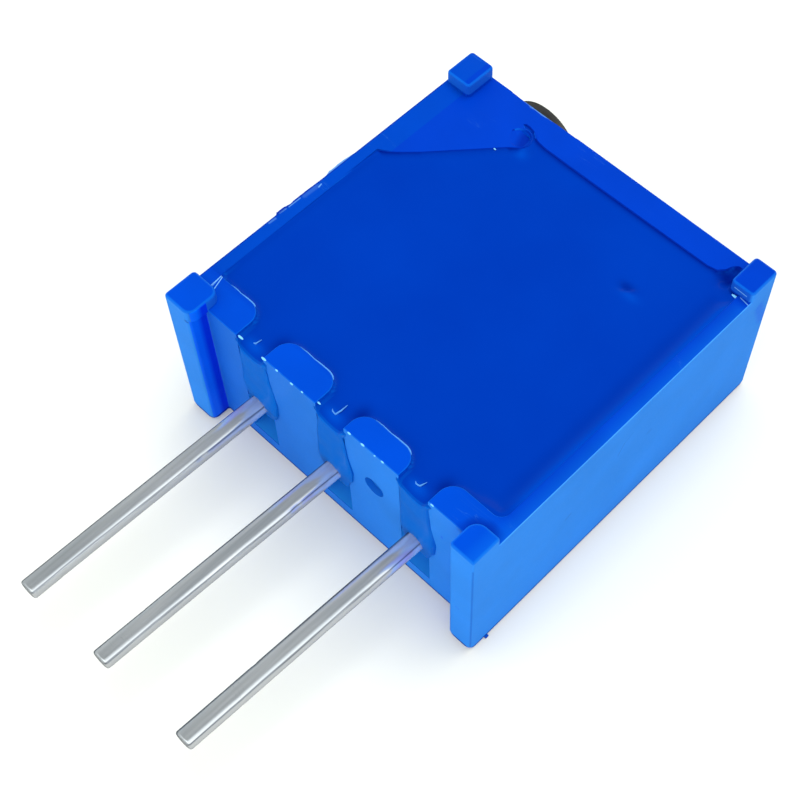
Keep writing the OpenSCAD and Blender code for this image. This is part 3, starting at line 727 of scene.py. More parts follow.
def makeResin(material):
    r = resinLooks
    outline = cavityOutline()
    step = r["spacing"]
    lowX, highX = leftX - 0.07, rightX + 0.07
    topY = farY + 0.50
    columns = round((highX - lowX) / step)
    rows = round((topY - r["lipY"]) / step)
    turn = math.pi / 2 * r["lipRound"]
    drop = 3.0
    tongueRows = round((turn + drop) / 0.07)
    clearPick()
    bpy.ops.mesh.primitive_grid_add(
        x_subdivisions=columns, y_subdivisions=rows + tongueRows, size=2, location=(0, 0, 0))
    sheet = bpy.context.object
    count = len(sheet.data.vertices)
    co = np.zeros(count * 3)
    sheet.data.vertices.foreach_get("co", co)
    co = co.reshape(-1, 3)
    column = np.rint((co[:, 0] + 1) / 2 * columns).astype(int)
    row = np.rint((co[:, 1] + 1) / 2 * (rows + tongueRows)).astype(int) - tongueRows
    x = lowX + (highX - lowX) * column / columns
    y = r["lipY"] + (topY - r["lipY"]) * np.maximum(row, 0) / rows
    z, d = resinHeight(x, y, outline)
    top = np.column_stack([x, y, z])
    under = np.column_stack([x, np.maximum(y, r["innerY"]), np.full(count, r["floor"])])
    keep = (row >= 0) & (d > -0.12)
    for k, tongue in enumerate(r["tongues"]):
        u = (x - pinX[k]) / r["tongueHalf"]
        mine = (row < 0) & (np.abs(u) <= 1.0)
        keep |= mine
        s = (turn + drop) * (-row) / tongueRows
        angle = np.clip(s / r["lipRound"], 0, math.pi / 2)
        down = np.maximum(s - turn, 0)
        lipZ = z
        # rows are spread so that the last one falls on the tongue's foot
        room = lipZ - r["lipRound"] - tongue["foot"]
        down = down / drop * room
        newZ = lipZ - r["lipRound"] * (1 - np.cos(angle)) - down
        t = (u + 1) / 2
        follow = np.clip(s / 0.45, 0, 1)
        follow = follow * follow * (3 - 2 * follow)
        left, right = edgeAt(tongue["left"], newZ), edgeAt(tongue["right"], newZ)
        # The foot of the tongue closes in a leaning round end
        end = np.clip((newZ - tongue["foot"]) / 0.34, 0, 1)
        close = np.sqrt(np.clip(1 - (1 - end) ** 2, 0, 1))
        middle = (left + right) / 2 + tongue["lean"] * (1 - end) * (right - left) / 2
        half = (right - left) / 2 * close
        newX = x + (middle + (2 * t - 1) * half - x) * follow
        # Its front is nearly flat and its edges are round where they meet the wall
        edge = np.clip(np.minimum((1 - np.abs(2 * t - 1)) / 0.30, end / 0.5), 0, 1)
        bead = np.sqrt(np.clip(1 - (1 - edge) ** 2, 0, 1))
        waves = np.array([noise.noise(Vector((px / 0.42, pz / 0.5, k * 3.7)))
                          for px, pz in zip(newX, newZ)])
        proud = r["proud"] + 0.028 * waves + 0.04 * np.exp(-((newZ - 2.45) / 0.35) ** 2)
        outY = wallY + 0.03 - (proud + 0.03) * bead
        lipOut = r["lipY"] - r["lipRound"] * np.sin(angle)
        blendOut = np.clip((s - 0.3 * turn) / (turn * 1.2), 0, 1)
        blendOut = blendOut * blendOut * (3 - 2 * blendOut)
        newY = lipOut * (1 - blendOut) + outY * blendOut
        top[mine] = np.column_stack([newX, newY, newZ])[mine]
        under[mine] = np.column_stack([newX, np.full(count, r["innerY"]),
                                       np.minimum(newZ, r["floor"])])[mine]
    sheet.data.vertices.foreach_set("co", top.ravel())
    # Faces outside the kept plan go, then the sheet gets its underside
    makeActive(sheet)
    bpy.ops.object.mode_set(mode="EDIT")
    bpy.ops.mesh.select_mode(type="VERT")
    shape = bmesh.from_edit_mesh(sheet.data)
    mark = shape.verts.layers.int.new("place")
    for vertex, kept, place in zip(shape.verts, keep, range(count)):
        vertex[mark] = place
        vertex.select = not kept
    bmesh.update_edit_mesh(sheet.data)
    bpy.ops.mesh.delete(type="VERT")
    bpy.ops.mesh.select_all(action="SELECT")
    bpy.ops.mesh.extrude_region_move(TRANSFORM_OT_translate={"value": (0, 0, 0)})
    shape = bmesh.from_edit_mesh(sheet.data)
    mark = shape.verts.layers.int["place"]
    for vertex in shape.verts:
        if vertex.select:
            vertex.co = under[vertex[mark]]
    bmesh.update_edit_mesh(sheet.data)
    bpy.ops.mesh.select_all(action="SELECT")
    bpy.ops.mesh.remove_doubles(threshold=0.0008)
    bpy.ops.mesh.normals_make_consistent(inside=False)
    bpy.ops.object.mode_set(mode="OBJECT")
    sheet.data.attributes.remove(sheet.data.attributes["place"])
    firstExtra = len(sheet.data.vertices)
    threads = addRidges(sheet)
    shadeResin(sheet, outline, firstExtra, threads)
    return settle(sheet, "pottingResin", "case", ["potting_seal"], material, 60)


pinLooks = {
    "round": 0.250, "axisZ": 2.125, "tipRound": 0.055, "longer": (0.09, 0.04, 0.0),
    # Sideways place of each pin at the wall and at its tip
    "lean": ((0.062, -0.115), (0.0, -0.262), (0.065, -0.185)),
}


def makePin(index, material):
    p = pinLooks
    low, high = boxOf(f"terminal_pin_{index + 1}")
    low.y -= p["longer"][index]
    x, length = pinX[index], high.y - low.y
    clearPick()
    bpy.ops.mesh.primitive_cylinder_add(
        vertices=48, radius=p["round"], depth=length, end_fill_type="NGON",
        location=(x, low.y + length / 2, p["axisZ"]), rotation=(-math.pi / 2, 0, 0))
    pin = applyPlace(bpy.context.object)
    bevelWhere(pin, p["tipRound"], 3, lambda a, b: max(a.y, b.y) < low.y + 0.01)
    # Rings along the pin, so that it can bend and flatten
    bpy.ops.object.mode_set(mode="EDIT")
    for k in range(1, 80):
        bpy.ops.mesh.select_all(action="SELECT")
        bpy.ops.mesh.bisect(plane_co=(0, low.y + 0.1 + (length - 0.1) * k / 80, 0),
                            plane_no=(0, 1, 0))
    bpy.ops.object.mode_set(mode="OBJECT")
    rootX, tipX = p["lean"][index]
    rng = random.Random(index + 11)
    dings = [(low.y + 0.6 + 5.3 * rng.random(), rng.random() * 6.28, 0.004 + 0.008 * rng.random())
             for _ in range(7)]
    for vertex in pin.data.vertices:
        c = vertex.co
        t = (wallY - c.y) / (wallY - low.y)
        dx, dz = c.x - x, c.z - p["axisZ"]
        a = math.atan2(dz, dx)
        for at, where, deep in dings:
            turn = math.cos(a - where)
            fall = math.exp(-((c.y - at) / 0.07) ** 2) * max(0, turn) ** 6
            dx -= deep * fall * math.cos(a)
            dz -= deep * fall * math.sin(a)
        if c.y > wallY + 0.1:  # the flattened inner end
            f = min(1, (c.y - wallY - 0.1) / 0.25)
            dx *= 1 + 0.215 * f
            dz = dz * (1 - 0.353 * f) + 0.09 * f
        inside = min(1, max(0, 1 + t / 0.12))
        t = max(0, t)
        c.x = x + dx + (rootX + (tipX - rootX) * t) * inside + 0.003 * math.sin(7 * t + index)
        c.z = p["axisZ"] + dz + 0.002 * math.sin(6 * t + 2 * index)
    return settle(pin, f"terminalWire{index + 1}", "case",
                  [f"terminal_pin_{index + 1}"], material, 40)


screwLooks = {"headRound": 0.06, "slotRound": 0.03, "slotWide": 0.56, "slotDeep": 0.76}


def makeScrew(material):
    # The shaft and its worm are the model's own, and the head is turned anew
    s = screwLooks
    low, high = boxOf("adjusting_screw")
    axis = (low + high) / 2
    headRadius = (high.x - low.x) / 2
    headY = endY + 0.05
    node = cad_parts["adjusting_screw"]
    shaft = bpy.data.objects.new("shaft", node.data.copy())
    bpy.context.scene.collection.objects.link(shaft)
    shaft.data.transform(Matrix.Scale(1 / milli, 4))
    makeActive(shaft)
    bpy.ops.object.mode_set(mode="EDIT")
    bpy.ops.mesh.select_all(action="SELECT")
    bpy.ops.mesh.remove_doubles(threshold=0.0005)
    bpy.ops.object.mode_set(mode="OBJECT")
    carve(shaft, block("cutHead", (-9, headY - 0.01, -9), (9, 12, 9)))
    head = rod("head", (axis.x, headY - 0.012, axis.z), headRadius, high.y - headY + 0.012, "Y", 96)
    bevelWhere(head, s["headRound"], 4, lambda a, b: min(a.y, b.y) > high.y - 0.01)
    bevelWhere(head, 0.03, 2, lambda a, b: max(a.y, b.y) < headY)
    carve(head, block("slot", (axis.x - 3, high.y - s["slotDeep"], axis.z - s["slotWide"] / 2),
                      (axis.x + 3, high.y + 1, axis.z + s["slotWide"] / 2)))
    mergeFlat(head)
    bevelAll(head, s["slotRound"], 2, 50)
    carve(shaft, head, "UNION")
    return settle(shaft, "adjustingScrew", "screw", ["adjusting_screw"],
                  material, 34)


def newGroup(name, inputs, outputs):
    tree = bpy.data.node_groups.new(name, "ShaderNodeTree")
    for label, kind, value in inputs:
        socket = tree.interface.new_socket(name=label, in_out="INPUT", socket_type=kind)
        if value is not None:
            socket.default_value = value
    for label, kind in outputs:
        tree.interface.new_socket(name=label, in_out="OUTPUT", socket_type=kind)
    start = tree.nodes.new("NodeGroupInput")
    end = tree.nodes.new("NodeGroupOutput")
    return tree, start, end


def addNode(tree, kind, **settings):
    node = tree.nodes.new(kind)
    for key, value in settings.items():
        if hasattr(node, key):
            setattr(node, key, value)
        else:
            node.inputs[key.replace("_", " ")].default_value = value
    return node


def mathNode(tree, how, a, b=None, clamp=False):
    node = tree.nodes.new("ShaderNodeMath")
    node.operation = how
    node.use_clamp = clamp
    for socket, value in zip(node.inputs, (a, b)):
        if value is None:
            continue
        if isinstance(value, (int, float)):
            socket.default_value = value
        else:
            tree.links.new(value, socket)
    return node.outputs[0]


def product(tree, *factors):
    result = factors[0]
    for factor in factors[1:]:
        result = mathNode(tree, "MULTIPLY", result, factor)
    return result


def above(tree, value, low):
    return mathNode(tree, "GREATER_THAN", value, low)


def below(tree, value, high):
    return mathNode(tree, "LESS_THAN", value, high)


def splitNode(tree, vector):
    node = tree.nodes.new("ShaderNodeSeparateXYZ")
    tree.links.new(vector, node.inputs[0])
    return node.outputs["X"], node.outputs["Y"], node.outputs["Z"]


def rangeNode(tree, value, fromLow, fromHigh, toLow=0.0, toHigh=1.0):
    node = tree.nodes.new("ShaderNodeMapRange")
    tree.links.new(value, node.inputs["Value"])
    for label, number in zip(("From Min", "From Max", "To Min", "To Max"),
                             (fromLow, fromHigh, toLow, toHigh)):
        if isinstance(number, (int, float)):
            node.inputs[label].default_value = number
        else:
            tree.links.new(number, node.inputs[label])
    return node.outputs["Result"]


def mixColour(tree, factor, a, b, how="MIX"):
    node = tree.nodes.new("ShaderNodeMix")
    node.data_type = "RGBA"
    node.blend_type = how
    for socket, value in zip((node.inputs[0], node.inputs[6], node.inputs[7]), (factor, a, b)):
        if isinstance(value, (int, float, tuple)):
            socket.default_value = value
        else:
            tree.links.new(value, socket)
    return node.outputs[2]


def noiseNode(tree, vector, scale, detail=2.0, roughness=0.5):
    node = tree.nodes.new("ShaderNodeTexNoise")
    tree.links.new(vector, node.inputs["Vector"])
    if isinstance(scale, (int, float)):
        node.inputs["Scale"].default_value = scale
    else:
        tree.links.new(scale, node.inputs["Scale"])
    node.inputs["Detail"].default_value = detail
    node.inputs["Roughness"].default_value = roughness
    return node.outputs["Fac"]


def grainGroup():
    # Fine moulded or cast grain, and slow changes of tone; sizes are per millimetre
    tree, start, end = newGroup("surfaceGrain", [
        ("Vector", "NodeSocketVector", None), ("Fineness", "NodeSocketFloat", 12.0),
        ("Patches", "NodeSocketFloat", 0.6)],
        [("Height", "NodeSocketFloat"), ("Tone", "NodeSocketFloat")])
    fine = noiseNode(tree, start.outputs["Vector"], start.outputs["Fineness"], 4.0, 0.6)
    slow = noiseNode(tree, start.outputs["Vector"], start.outputs["Patches"], 3.0, 0.5)
    tree.links.new(fine, end.inputs["Height"])
    tree.links.new(slow, end.inputs["Tone"])
    return tree


def scuffGroup():
    # Thin scattered scratches: narrow bands of a stretched noise, only in some places
    tree, start, end = newGroup("scuffs", [
        ("Vector", "NodeSocketVector", None), ("Turn", "NodeSocketVector", (0.0, 0.0, 0.0)),
        ("Amount", "NodeSocketFloat", 0.5)], [("Mask", "NodeSocketFloat")])
    place = addNode(tree, "ShaderNodeMapping")
    tree.links.new(start.outputs["Vector"], place.inputs["Vector"])
    tree.links.new(start.outputs["Turn"], place.inputs["Rotation"])
    place.inputs["Scale"].default_value = (0.45, 6.0, 6.0)
    long = noiseNode(tree, place.outputs["Vector"], 1.0, 2.0, 0.5)
    band = mathNode(tree, "ABSOLUTE", mathNode(tree, "SUBTRACT", long, 0.5))
    line = rangeNode(tree, band, 0.0, 0.006, 1.0, 0.0)
    where = noiseNode(tree, start.outputs["Vector"], 0.9, 2.0, 0.5)
    some = rangeNode(tree, where, 0.56, 0.66)
    mask = mathNode(tree, "MULTIPLY", product(tree, line, some), start.outputs["Amount"],
                    clamp=True)
    tree.links.new(mask, end.inputs["Mask"])
    return tree


def speckGroup():
    # A few pale dust specks and pinholes
    tree, start, end = newGroup("specks", [
        ("Vector", "NodeSocketVector", None), ("Spacing", "NodeSocketFloat", 1.6),
        ("Size", "NodeSocketFloat", 0.035)], [("Mask", "NodeSocketFloat")])
    cells = tree.nodes.new("ShaderNodeTexVoronoi")
    cells.feature = "F1"
    tree.links.new(start.outputs["Vector"], cells.inputs["Vector"])
    tree.links.new(start.outputs["Spacing"], cells.inputs["Scale"])
    near = below(tree, cells.outputs["Distance"], start.outputs["Size"])
    part = tree.nodes.new("ShaderNodeSeparateColor")
    tree.links.new(cells.outputs["Color"], part.inputs[0])
    few = above(tree, part.outputs[0], 0.72)
    tree.links.new(product(tree, near, few), end.inputs["Mask"])
    return tree


def newMaterial(name, colour, roughness, metallic=0.0):
    material = bpy.data.materials.new(name)
    material.use_nodes = True
    tree = material.node_tree
    shader = tree.nodes["Principled BSDF"]
    shader.inputs["Base Color"].default_value = colour
    shader.inputs["Roughness"].default_value = roughness
    shader.inputs["Metallic"].default_value = metallic
    material.diffuse_color = colour
    place = tree.nodes.new("ShaderNodeTexCoord")
    scale = tree.nodes.new("ShaderNodeMapping")
    scale.inputs["Scale"].default_value = (1 / milli,) * 3
    tree.links.new(place.outputs["Object"], scale.inputs["Vector"])
    return material, tree, shader, scale.outputs["Vector"]


def useGroup(tree, group, vector, **values):
    node = tree.nodes.new("ShaderNodeGroup")
    node.node_tree = group
    tree.links.new(vector, node.inputs["Vector"])
    for key, value in values.items():
        node.inputs[key].default_value = value
    return node


def bumpInto(tree, shader, height, strength, distance):
    bump = tree.nodes.new("ShaderNodeBump")
    bump.inputs["Strength"].default_value = strength
    bump.inputs["Distance"].default_value = distance * milli
    tree.links.new(height, bump.inputs["Height"])
    tree.links.new(bump.outputs["Normal"], shader.inputs["Normal"])
    return bump


plasticLooks = {
    # Top, boss and band are the plastic's own blues; edge and the crest colour are painted
    # highlights, and border is painted shade that also colours a few real dark marks
    "top": (0.0001, 0.039, 0.45, 1), "boss": (0.0001, 0.058, 0.53, 1),
    "band": (0.0001, 0.050, 0.44, 1), "edge": (0.004, 0.15, 0.66, 1),
    "border": (0.0001, 0.018, 0.31, 1),
    # Side and inner are painted paler for the light the walls take, deep is painted shade between
    # the feet and also colours dark marks, and recess is painted light and reflection in the
    # pockets
    "side": (0.022, 0.222, 0.77, 1), "recess": (0.020, 0.27, 0.74, 1),
    "deep": (0.0001, 0.030, 0.72, 1), "inner": (0.0001, 0.125, 0.92, 1),
    "worn": (0.08, 0.36, 0.80, 1), "crestHighlight": (0.06, 0.33, 0.85, 1),
    "chipped": (0.16, 0.38, 0.70, 1), "scratch": (0.22, 0.56, 0.90, 1),
    "tint": (0.12, 0.50, 1.0, 1),
    "topRough": 0.30, "sideRough": 0.50, "specular": 0.06,
    # Scratches and marks: start, end, half width and strength
    "marks": [((-4.361, -4.0, 4.5), (-4.396, -3.50, 4.50), 0.010, 0.90),
              ((-4.242, -4.0, 4.5), (-4.390, -3.53, 4.50), 0.010, 0.90),
              ((-4.33, -4.0, 4.5), (-4.37, -3.75, 4.50), 0.007, 0.6),
              ((4.26, 4.10, 4.66), (4.60, 4.10, 4.64), 0.014, 0.8),
              ((4.48, 4.065, 4.50), (4.73, 4.025, 4.50), 0.012, 0.6),
              ((-2.74, 4.935, 4.39), (-2.60, 4.94, 4.385), 0.026, 0.65),
              ((-2.62, 4.93, 4.39), (-1.50, 4.95, 4.39), 0.011, 0.6),
              ((-4.705, -1.89, 4.490), (-4.695, -1.70, 4.490), 0.028, 0.18),
              ((-4.745, -1.53, 4.490), (-4.735, -1.34, 4.490), 0.026, 0.40),
              ((-4.715, -1.25, 4.490), (-4.712, -0.89, 4.490), 0.014, 0.40),
              ((-4.700, -0.78, 4.490), (-4.680, -0.37, 4.489), 0.060, 0.08),
              ((-4.640, -0.36, 4.482), (-4.660, -0.26, 4.485), 0.016, 0.5)],
    # Dark marks: a dash on the plain foot's face, a dot on the wall and a darker patch on the plain
    # side below its far pad
    "darkMarks": [((4.29, -5.015, 1.906), (4.378, -5.015, 1.888), 0.018, 0.55),
               ((3.381, -4.505, 3.36), (3.381, -4.505, 3.30), 0.035, 0.40),
               ((4.765, 4.55, 3.90), (4.765, 4.85, 3.10), 0.16, 0.28)],
    # Darker places in the border colour: a hair scratch and small marks on the plain side's face,
    # then painted shade behind the plain front foot's pad, along that foot's corner, below the
    # other foot's pad and in the sunken post
    "marksAndPaintedShade": [((4.765, -0.30, 3.18), (4.765, -0.13, 3.52), 0.020, 0.34),
               ((4.765, -0.13, 3.52), (4.765, 0.15, 3.66), 0.016, 0.24),
               ((4.765, 0.82, 2.83), (4.765, 0.86, 2.82), 0.08, 0.14),
               ((4.765, -1.95, 2.40), (4.765, -1.81, 2.47), 0.045, 0.20),
               ((4.03, -4.48, 4.50), (4.11, -4.25, 4.50), 0.22, 0.48),
               ((4.11, -4.25, 4.50), (4.34, -4.14, 4.50), 0.22, 0.48),
               ((4.34, -4.14, 4.50), (4.52, -4.14, 4.50), 0.20, 0.36),
               ((4.765, -5.015, 0.15), (4.765, -5.015, 4.40), 0.034, 0.40),
               ((-4.10, -5.015, 4.44), (-4.00, -5.015, 4.41), 0.030, 0.70),
               ((-2.15, 4.20, 4.36), (-2.07, 4.02, 4.36), 0.22, 0.85)],
}
# Deep and pale are the resin's own tones; outside is painted paler where the resin runs down the
# wall, and shadow, light and glint are painted shade, light and highlights
resinTones = {"deep": (0.0001, 0.031, 0.350, 1), "pale": (0.0001, 0.036, 0.38, 1),
              "shadow": (0.0001, 0.009, 0.20, 1), "light": (0.0003, 0.080, 0.55, 1),
              "glint": (0.20, 0.58, 0.90, 1),
              "outside": (0.0001, 0.120, 0.57, 1), "tint": (0.06, 0.60, 1.0, 1),
              "rough": 0.12, "outsideRough": 0.30, "specular": 0.04}


def streakGroup():
    # Soft mark along a straight line between two points
    tree, start, end = newGroup("streak", [
        ("Vector", "NodeSocketVector", None), ("From", "NodeSocketVector", (0.0, 0.0, 0.0)),
        ("To", "NodeSocketVector", (0.0, 1.0, 0.0)), ("Wide", "NodeSocketFloat", 0.01),
        ("Amount", "NodeSocketFloat", 1.0)], [("Mask", "NodeSocketFloat")])

    def vectorNode(how, a, b):
        node = tree.nodes.new("ShaderNodeVectorMath")
        node.operation = how
        tree.links.new(a, node.inputs[0])
        if b is not None:
            tree.links.new(b, node.inputs[3] if how == "SCALE" else node.inputs[1])
        return node.outputs[1] if how in ("DOT_PRODUCT", "LENGTH") else node.outputs[0]

    reach = vectorNode("SUBTRACT", start.outputs["Vector"], start.outputs["From"])
    line = vectorNode("SUBTRACT", start.outputs["To"], start.outputs["From"])
    share = mathNode(tree, "DIVIDE", vectorNode("DOT_PRODUCT", reach, line),
                     vectorNode("DOT_PRODUCT", line, line), clamp=True)
    nearest = vectorNode("SCALE", line, share)
    away = vectorNode("LENGTH", vectorNode("SUBTRACT", reach, nearest), None)
    spread = mathNode(tree, "DIVIDE", away, start.outputs["Wide"])
    mask = rangeNode(tree, spread, 0.5, 1.3, 1.0, 0.0)
    tree.links.new(product(tree, mask, start.outputs["Amount"]), end.inputs["Mask"])
    return tree


def marksInto(tree, groups, vector, colour, marks, tone):
    for start, finish, wide, amount in marks:
        streak = useGroup(tree, groups["streak"], vector, From=start, To=finish, Wide=wide,
                          Amount=amount)
        colour = mixColour(tree, streak.outputs["Mask"], colour, tone)
    return colour


def plasticMaterial(groups):
    looks = plasticLooks
    material, tree, shader, vector = newMaterial("mouldedBlue", looks["top"], looks["topRough"])
    shader.inputs["Specular IOR Level"].default_value = looks["specular"]
    shader.inputs["Specular Tint"].default_value = looks["tint"]
    grain = useGroup(tree, groups["grain"], vector, Fineness=14.0, Patches=0.55)
    scuffs = useGroup(tree, groups["scuffs"], vector, Amount=0.5, Turn=(0.3, 0.5, 0.9))
    specks = useGroup(tree, groups["specks"], vector, Spacing=0.9, Size=0.05)
    face = tree.nodes.new("ShaderNodeNewGeometry")
    sideways, _, upwards = splitNode(tree, face.outputs["True Normal"])
    x, y, z = splitNode(tree, vector)
    upright = mathNode(tree, "SUBTRACT", 1.0, mathNode(tree, "ABSOLUTE", upwards), True)

    def between(value, low, high):
        return product(tree, above(tree, value, low), below(tree, value, high))

    # Tops: the bosses by the pins and the sloping rim beside the screw are a little lighter
    bosses = rangeNode(tree, y, -3.55, -3.85)
    colour = mixColour(tree, bosses, looks["top"], looks["boss"])
    band = product(tree, below(tree, x, -sideX + housingSizes["slopeWide"]),
                   rangeNode(tree, y, -3.7, -3.5))
    colour = mixColour(tree, band, colour, looks["band"])
    # Painted light: the plain side's rim grows lighter towards its outer edge
    right = product(tree, rangeNode(tree, x, rightX - 0.02, sideX, 0.0, 0.34),
                    rangeNode(tree, y, 4.0, 3.8))
    colour = mixColour(tree, product(tree, right, above(tree, x, rightX - 0.05)),
                       colour, looks["edge"])
    # The outer walls are rougher and painted paler, the pin wall more so towards the plain side, as
    # the light from the sides and the floor makes them; all else is smoother and deeper
    outX = rangeNode(tree, mathNode(tree, "ABSOLUTE", x), sideX - 0.12, sideX - 0.02)
    outY = rangeNode(tree, y, endY - 0.12, endY - 0.02)
    feet = rangeNode(tree, y, feetY + 0.12, feetY + 0.02)
    wall = product(tree, rangeNode(tree, x, -4.0, 2.5, 0.50, 0.92),
                   between(y, wallY - 0.45, wallY + 0.01))
    outer = mathNode(tree, "MAXIMUM", mathNode(tree, "MAXIMUM", outX, outY),
                     mathNode(tree, "MAXIMUM", feet, wall))
    raised = product(tree, above(tree, z, rimZ + 0.01), 0.30)
    side = product(tree, rangeNode(tree, upright, 0.05, 0.9),
                   mathNode(tree, "MAXIMUM", outer, raised))
    # The closed face below gets the walls' paler painted colour and their roughness too
    closed = product(tree, below(tree, z, 0.1), rangeNode(tree, upwards, -0.2, -0.6))
    side = mathNode(tree, "MAXIMUM", side, closed)
    colour = mixColour(tree, side, colour, looks["side"])
    # Painted shade: faces that look at each other across the pins are deeper and darker, darkest at
    # the wall, with painted light near the feet's fronts
    facing = product(tree, below(tree, y, wallY),
                     above(tree, mathNode(tree, "ABSOLUTE", sideways), 0.7),
                     below(tree, mathNode(tree, "ABSOLUTE", x), sideX - 0.5))
    paintedInnerShade = mixColour(tree, rangeNode(tree, y, feetY + 0.22, feetY + 0.36), looks["inner"],
                       looks["deep"])
    colour = mixColour(tree, facing, colour, paintedInnerShade)
    # Painted light and reflection: the pockets behind the pins are lighter and greyer, and the mark
    # in the wall half so
    recess = product(tree, between(y, wallY + 0.01, wallY + 0.45), between(x, -3.2, 3.2),
                     between(z, 0.45, housingSizes["pinLow"] + 0.02))
    colour = mixColour(tree, recess, colour, looks["recess"])
    markX, markZ = housingSizes["markAt"]
    hole = product(tree, between(y, wallY + 0.01, wallY + 0.2),
                   between(x, markX - 0.32, markX + 0.32),
                   between(z, markZ - 0.32, markZ + 0.32))
    colour = mixColour(tree, product(tree, hole, 0.5), colour, looks["recess"])
    # Painted highlight: rounded edges are lighter; round the opening they get painted shade instead
    level = splitNode(tree, face.outputs["Normal"])[2]
    rounded = product(tree, rangeNode(tree, level, 0.30, 0.55),
                      rangeNode(tree, level, 0.985, 0.88))
    within = product(tree, between(x, -sideX + 0.15, rightX - 0.15),
                     between(y, 1.2, endY - 0.15), below(tree, z, rimZ + 0.02))
    postX, postY = housingSizes["postCentre"]
    post = tree.nodes.new("ShaderNodeVectorMath")
    post.operation = "DISTANCE"
    tree.links.new(vector, post.inputs[0])
    post.inputs[1].default_value = (postX, postY, webZ)
    # The post's own edge keeps its painted highlight only on the side towards the screw wall
    across = mathNode(tree, "ADD", product(tree, x, 0.39), product(tree, y, 0.92))
    lower = below(tree, across, 0.39 * postX + 0.92 * postY)
    border = product(tree, within, mathNode(tree, "MAXIMUM", lower,
                                            above(tree, post.outputs["Value"], 0.40)))
    clear = mathNode(tree, "SUBTRACT", 1.0, mathNode(tree, "MAXIMUM", border, product(
        tree, between(x, rightX - 0.15, rightX + 0.06), between(y, -3.6, 4.0))))
    # Painted highlight along the plain side's top edge
    crestHighlight = product(tree, above(tree, x, sideX - 0.06), below(tree, z, rimZ + 0.01))
    colour = mixColour(tree, product(tree, rounded, clear, 0.5), colour, looks["edge"])
    upper = product(tree, rangeNode(tree, level, 0.10, 0.40), rangeNode(tree, level, 0.99, 0.93),
                    crestHighlight, 0.85)
    colour = mixColour(tree, upper, colour, looks["crestHighlight"])
    # Painted shade along the opening's rounded border
    colour = mixColour(tree, product(tree, rounded, border), colour, looks["border"])
    tone = rangeNode(tree, grain.outputs["Tone"], 0.3, 0.7, 0.94, 1.06)
    shade = tree.nodes.new("ShaderNodeHueSaturation")
    tree.links.new(colour, shade.inputs["Color"])
    tree.links.new(tone, shade.inputs["Value"])
    marks = product(tree, scuffs.outputs["Mask"], 0.25)
    colour = mixColour(tree, marks, shade.outputs["Color"], looks["worn"])
    colour = mixColour(tree, product(tree, specks.outputs["Mask"], 0.12), colour, looks["worn"])
    crumbs = noiseNode(tree, vector, 5.0, 3.0, 0.6)
    chip = product(tree, rangeNode(tree, x, -3.46, -3.25), rangeNode(tree, x, -1.2, -1.6),
                   above(tree, y, endY - 0.16), between(z, webZ - 0.075, webZ - 0.012),
                   rangeNode(tree, crumbs, 0.38, 0.58, 0.40, 1.0))
    colour = mixColour(tree, product(tree, chip, 0.62), colour, looks["chipped"])
    flash = product(tree, below(tree, x, -sideX - 0.006), between(z, rimZ - 0.09, rimZ),
                    above(tree, y, -0.1))
    colour = mixColour(tree, product(tree, flash, 0.7), colour, looks["chipped"])
    colour = marksInto(tree, groups, vector, colour, looks["marks"], looks["scratch"])
    colour = marksInto(tree, groups, vector, colour, looks["darkMarks"], looks["deep"])
    colour = marksInto(tree, groups, vector, colour, looks["marksAndPaintedShade"], looks["border"])
    # Painted shade: the rim beside the screw is darker where it turns down, and so is the lower
    # edge where it meets the floor
    turned = product(tree, rangeNode(tree, x, -sideX + 0.032, -sideX + 0.050, 0.75, 0.0),
                     between(z, rimZ - 0.06, rimZ + 0.01), between(y, -4.0, 4.0),
                     mathNode(tree, "SUBTRACT", 1.0, flash))
    colour = mixColour(tree, turned, colour, looks["border"])
    lowerEdgeShade = product(tree, rangeNode(tree, z, 0.135, 0.170, 0.95, 0.0),
                    rangeNode(tree, upright, 0.15, 0.4))
    colour = mixColour(tree, lowerEdgeShade, colour, looks["border"])
    tree.links.new(colour, shader.inputs["Base Color"])
    rough = rangeNode(tree, side, 0.0, 1.0, looks["topRough"], looks["sideRough"])
    uneven = rangeNode(tree, grain.outputs["Height"], 0.2, 0.8, -0.05, 0.05)
    rough = mathNode(tree, "ADD", rough, uneven)
    tree.links.new(rough, shader.inputs["Roughness"])
    bumpInto(tree, shader, mathNode(tree, "ADD", grain.outputs["Height"],
             product(tree, scuffs.outputs["Mask"], -1.2)), 0.35, 0.006)
    return material


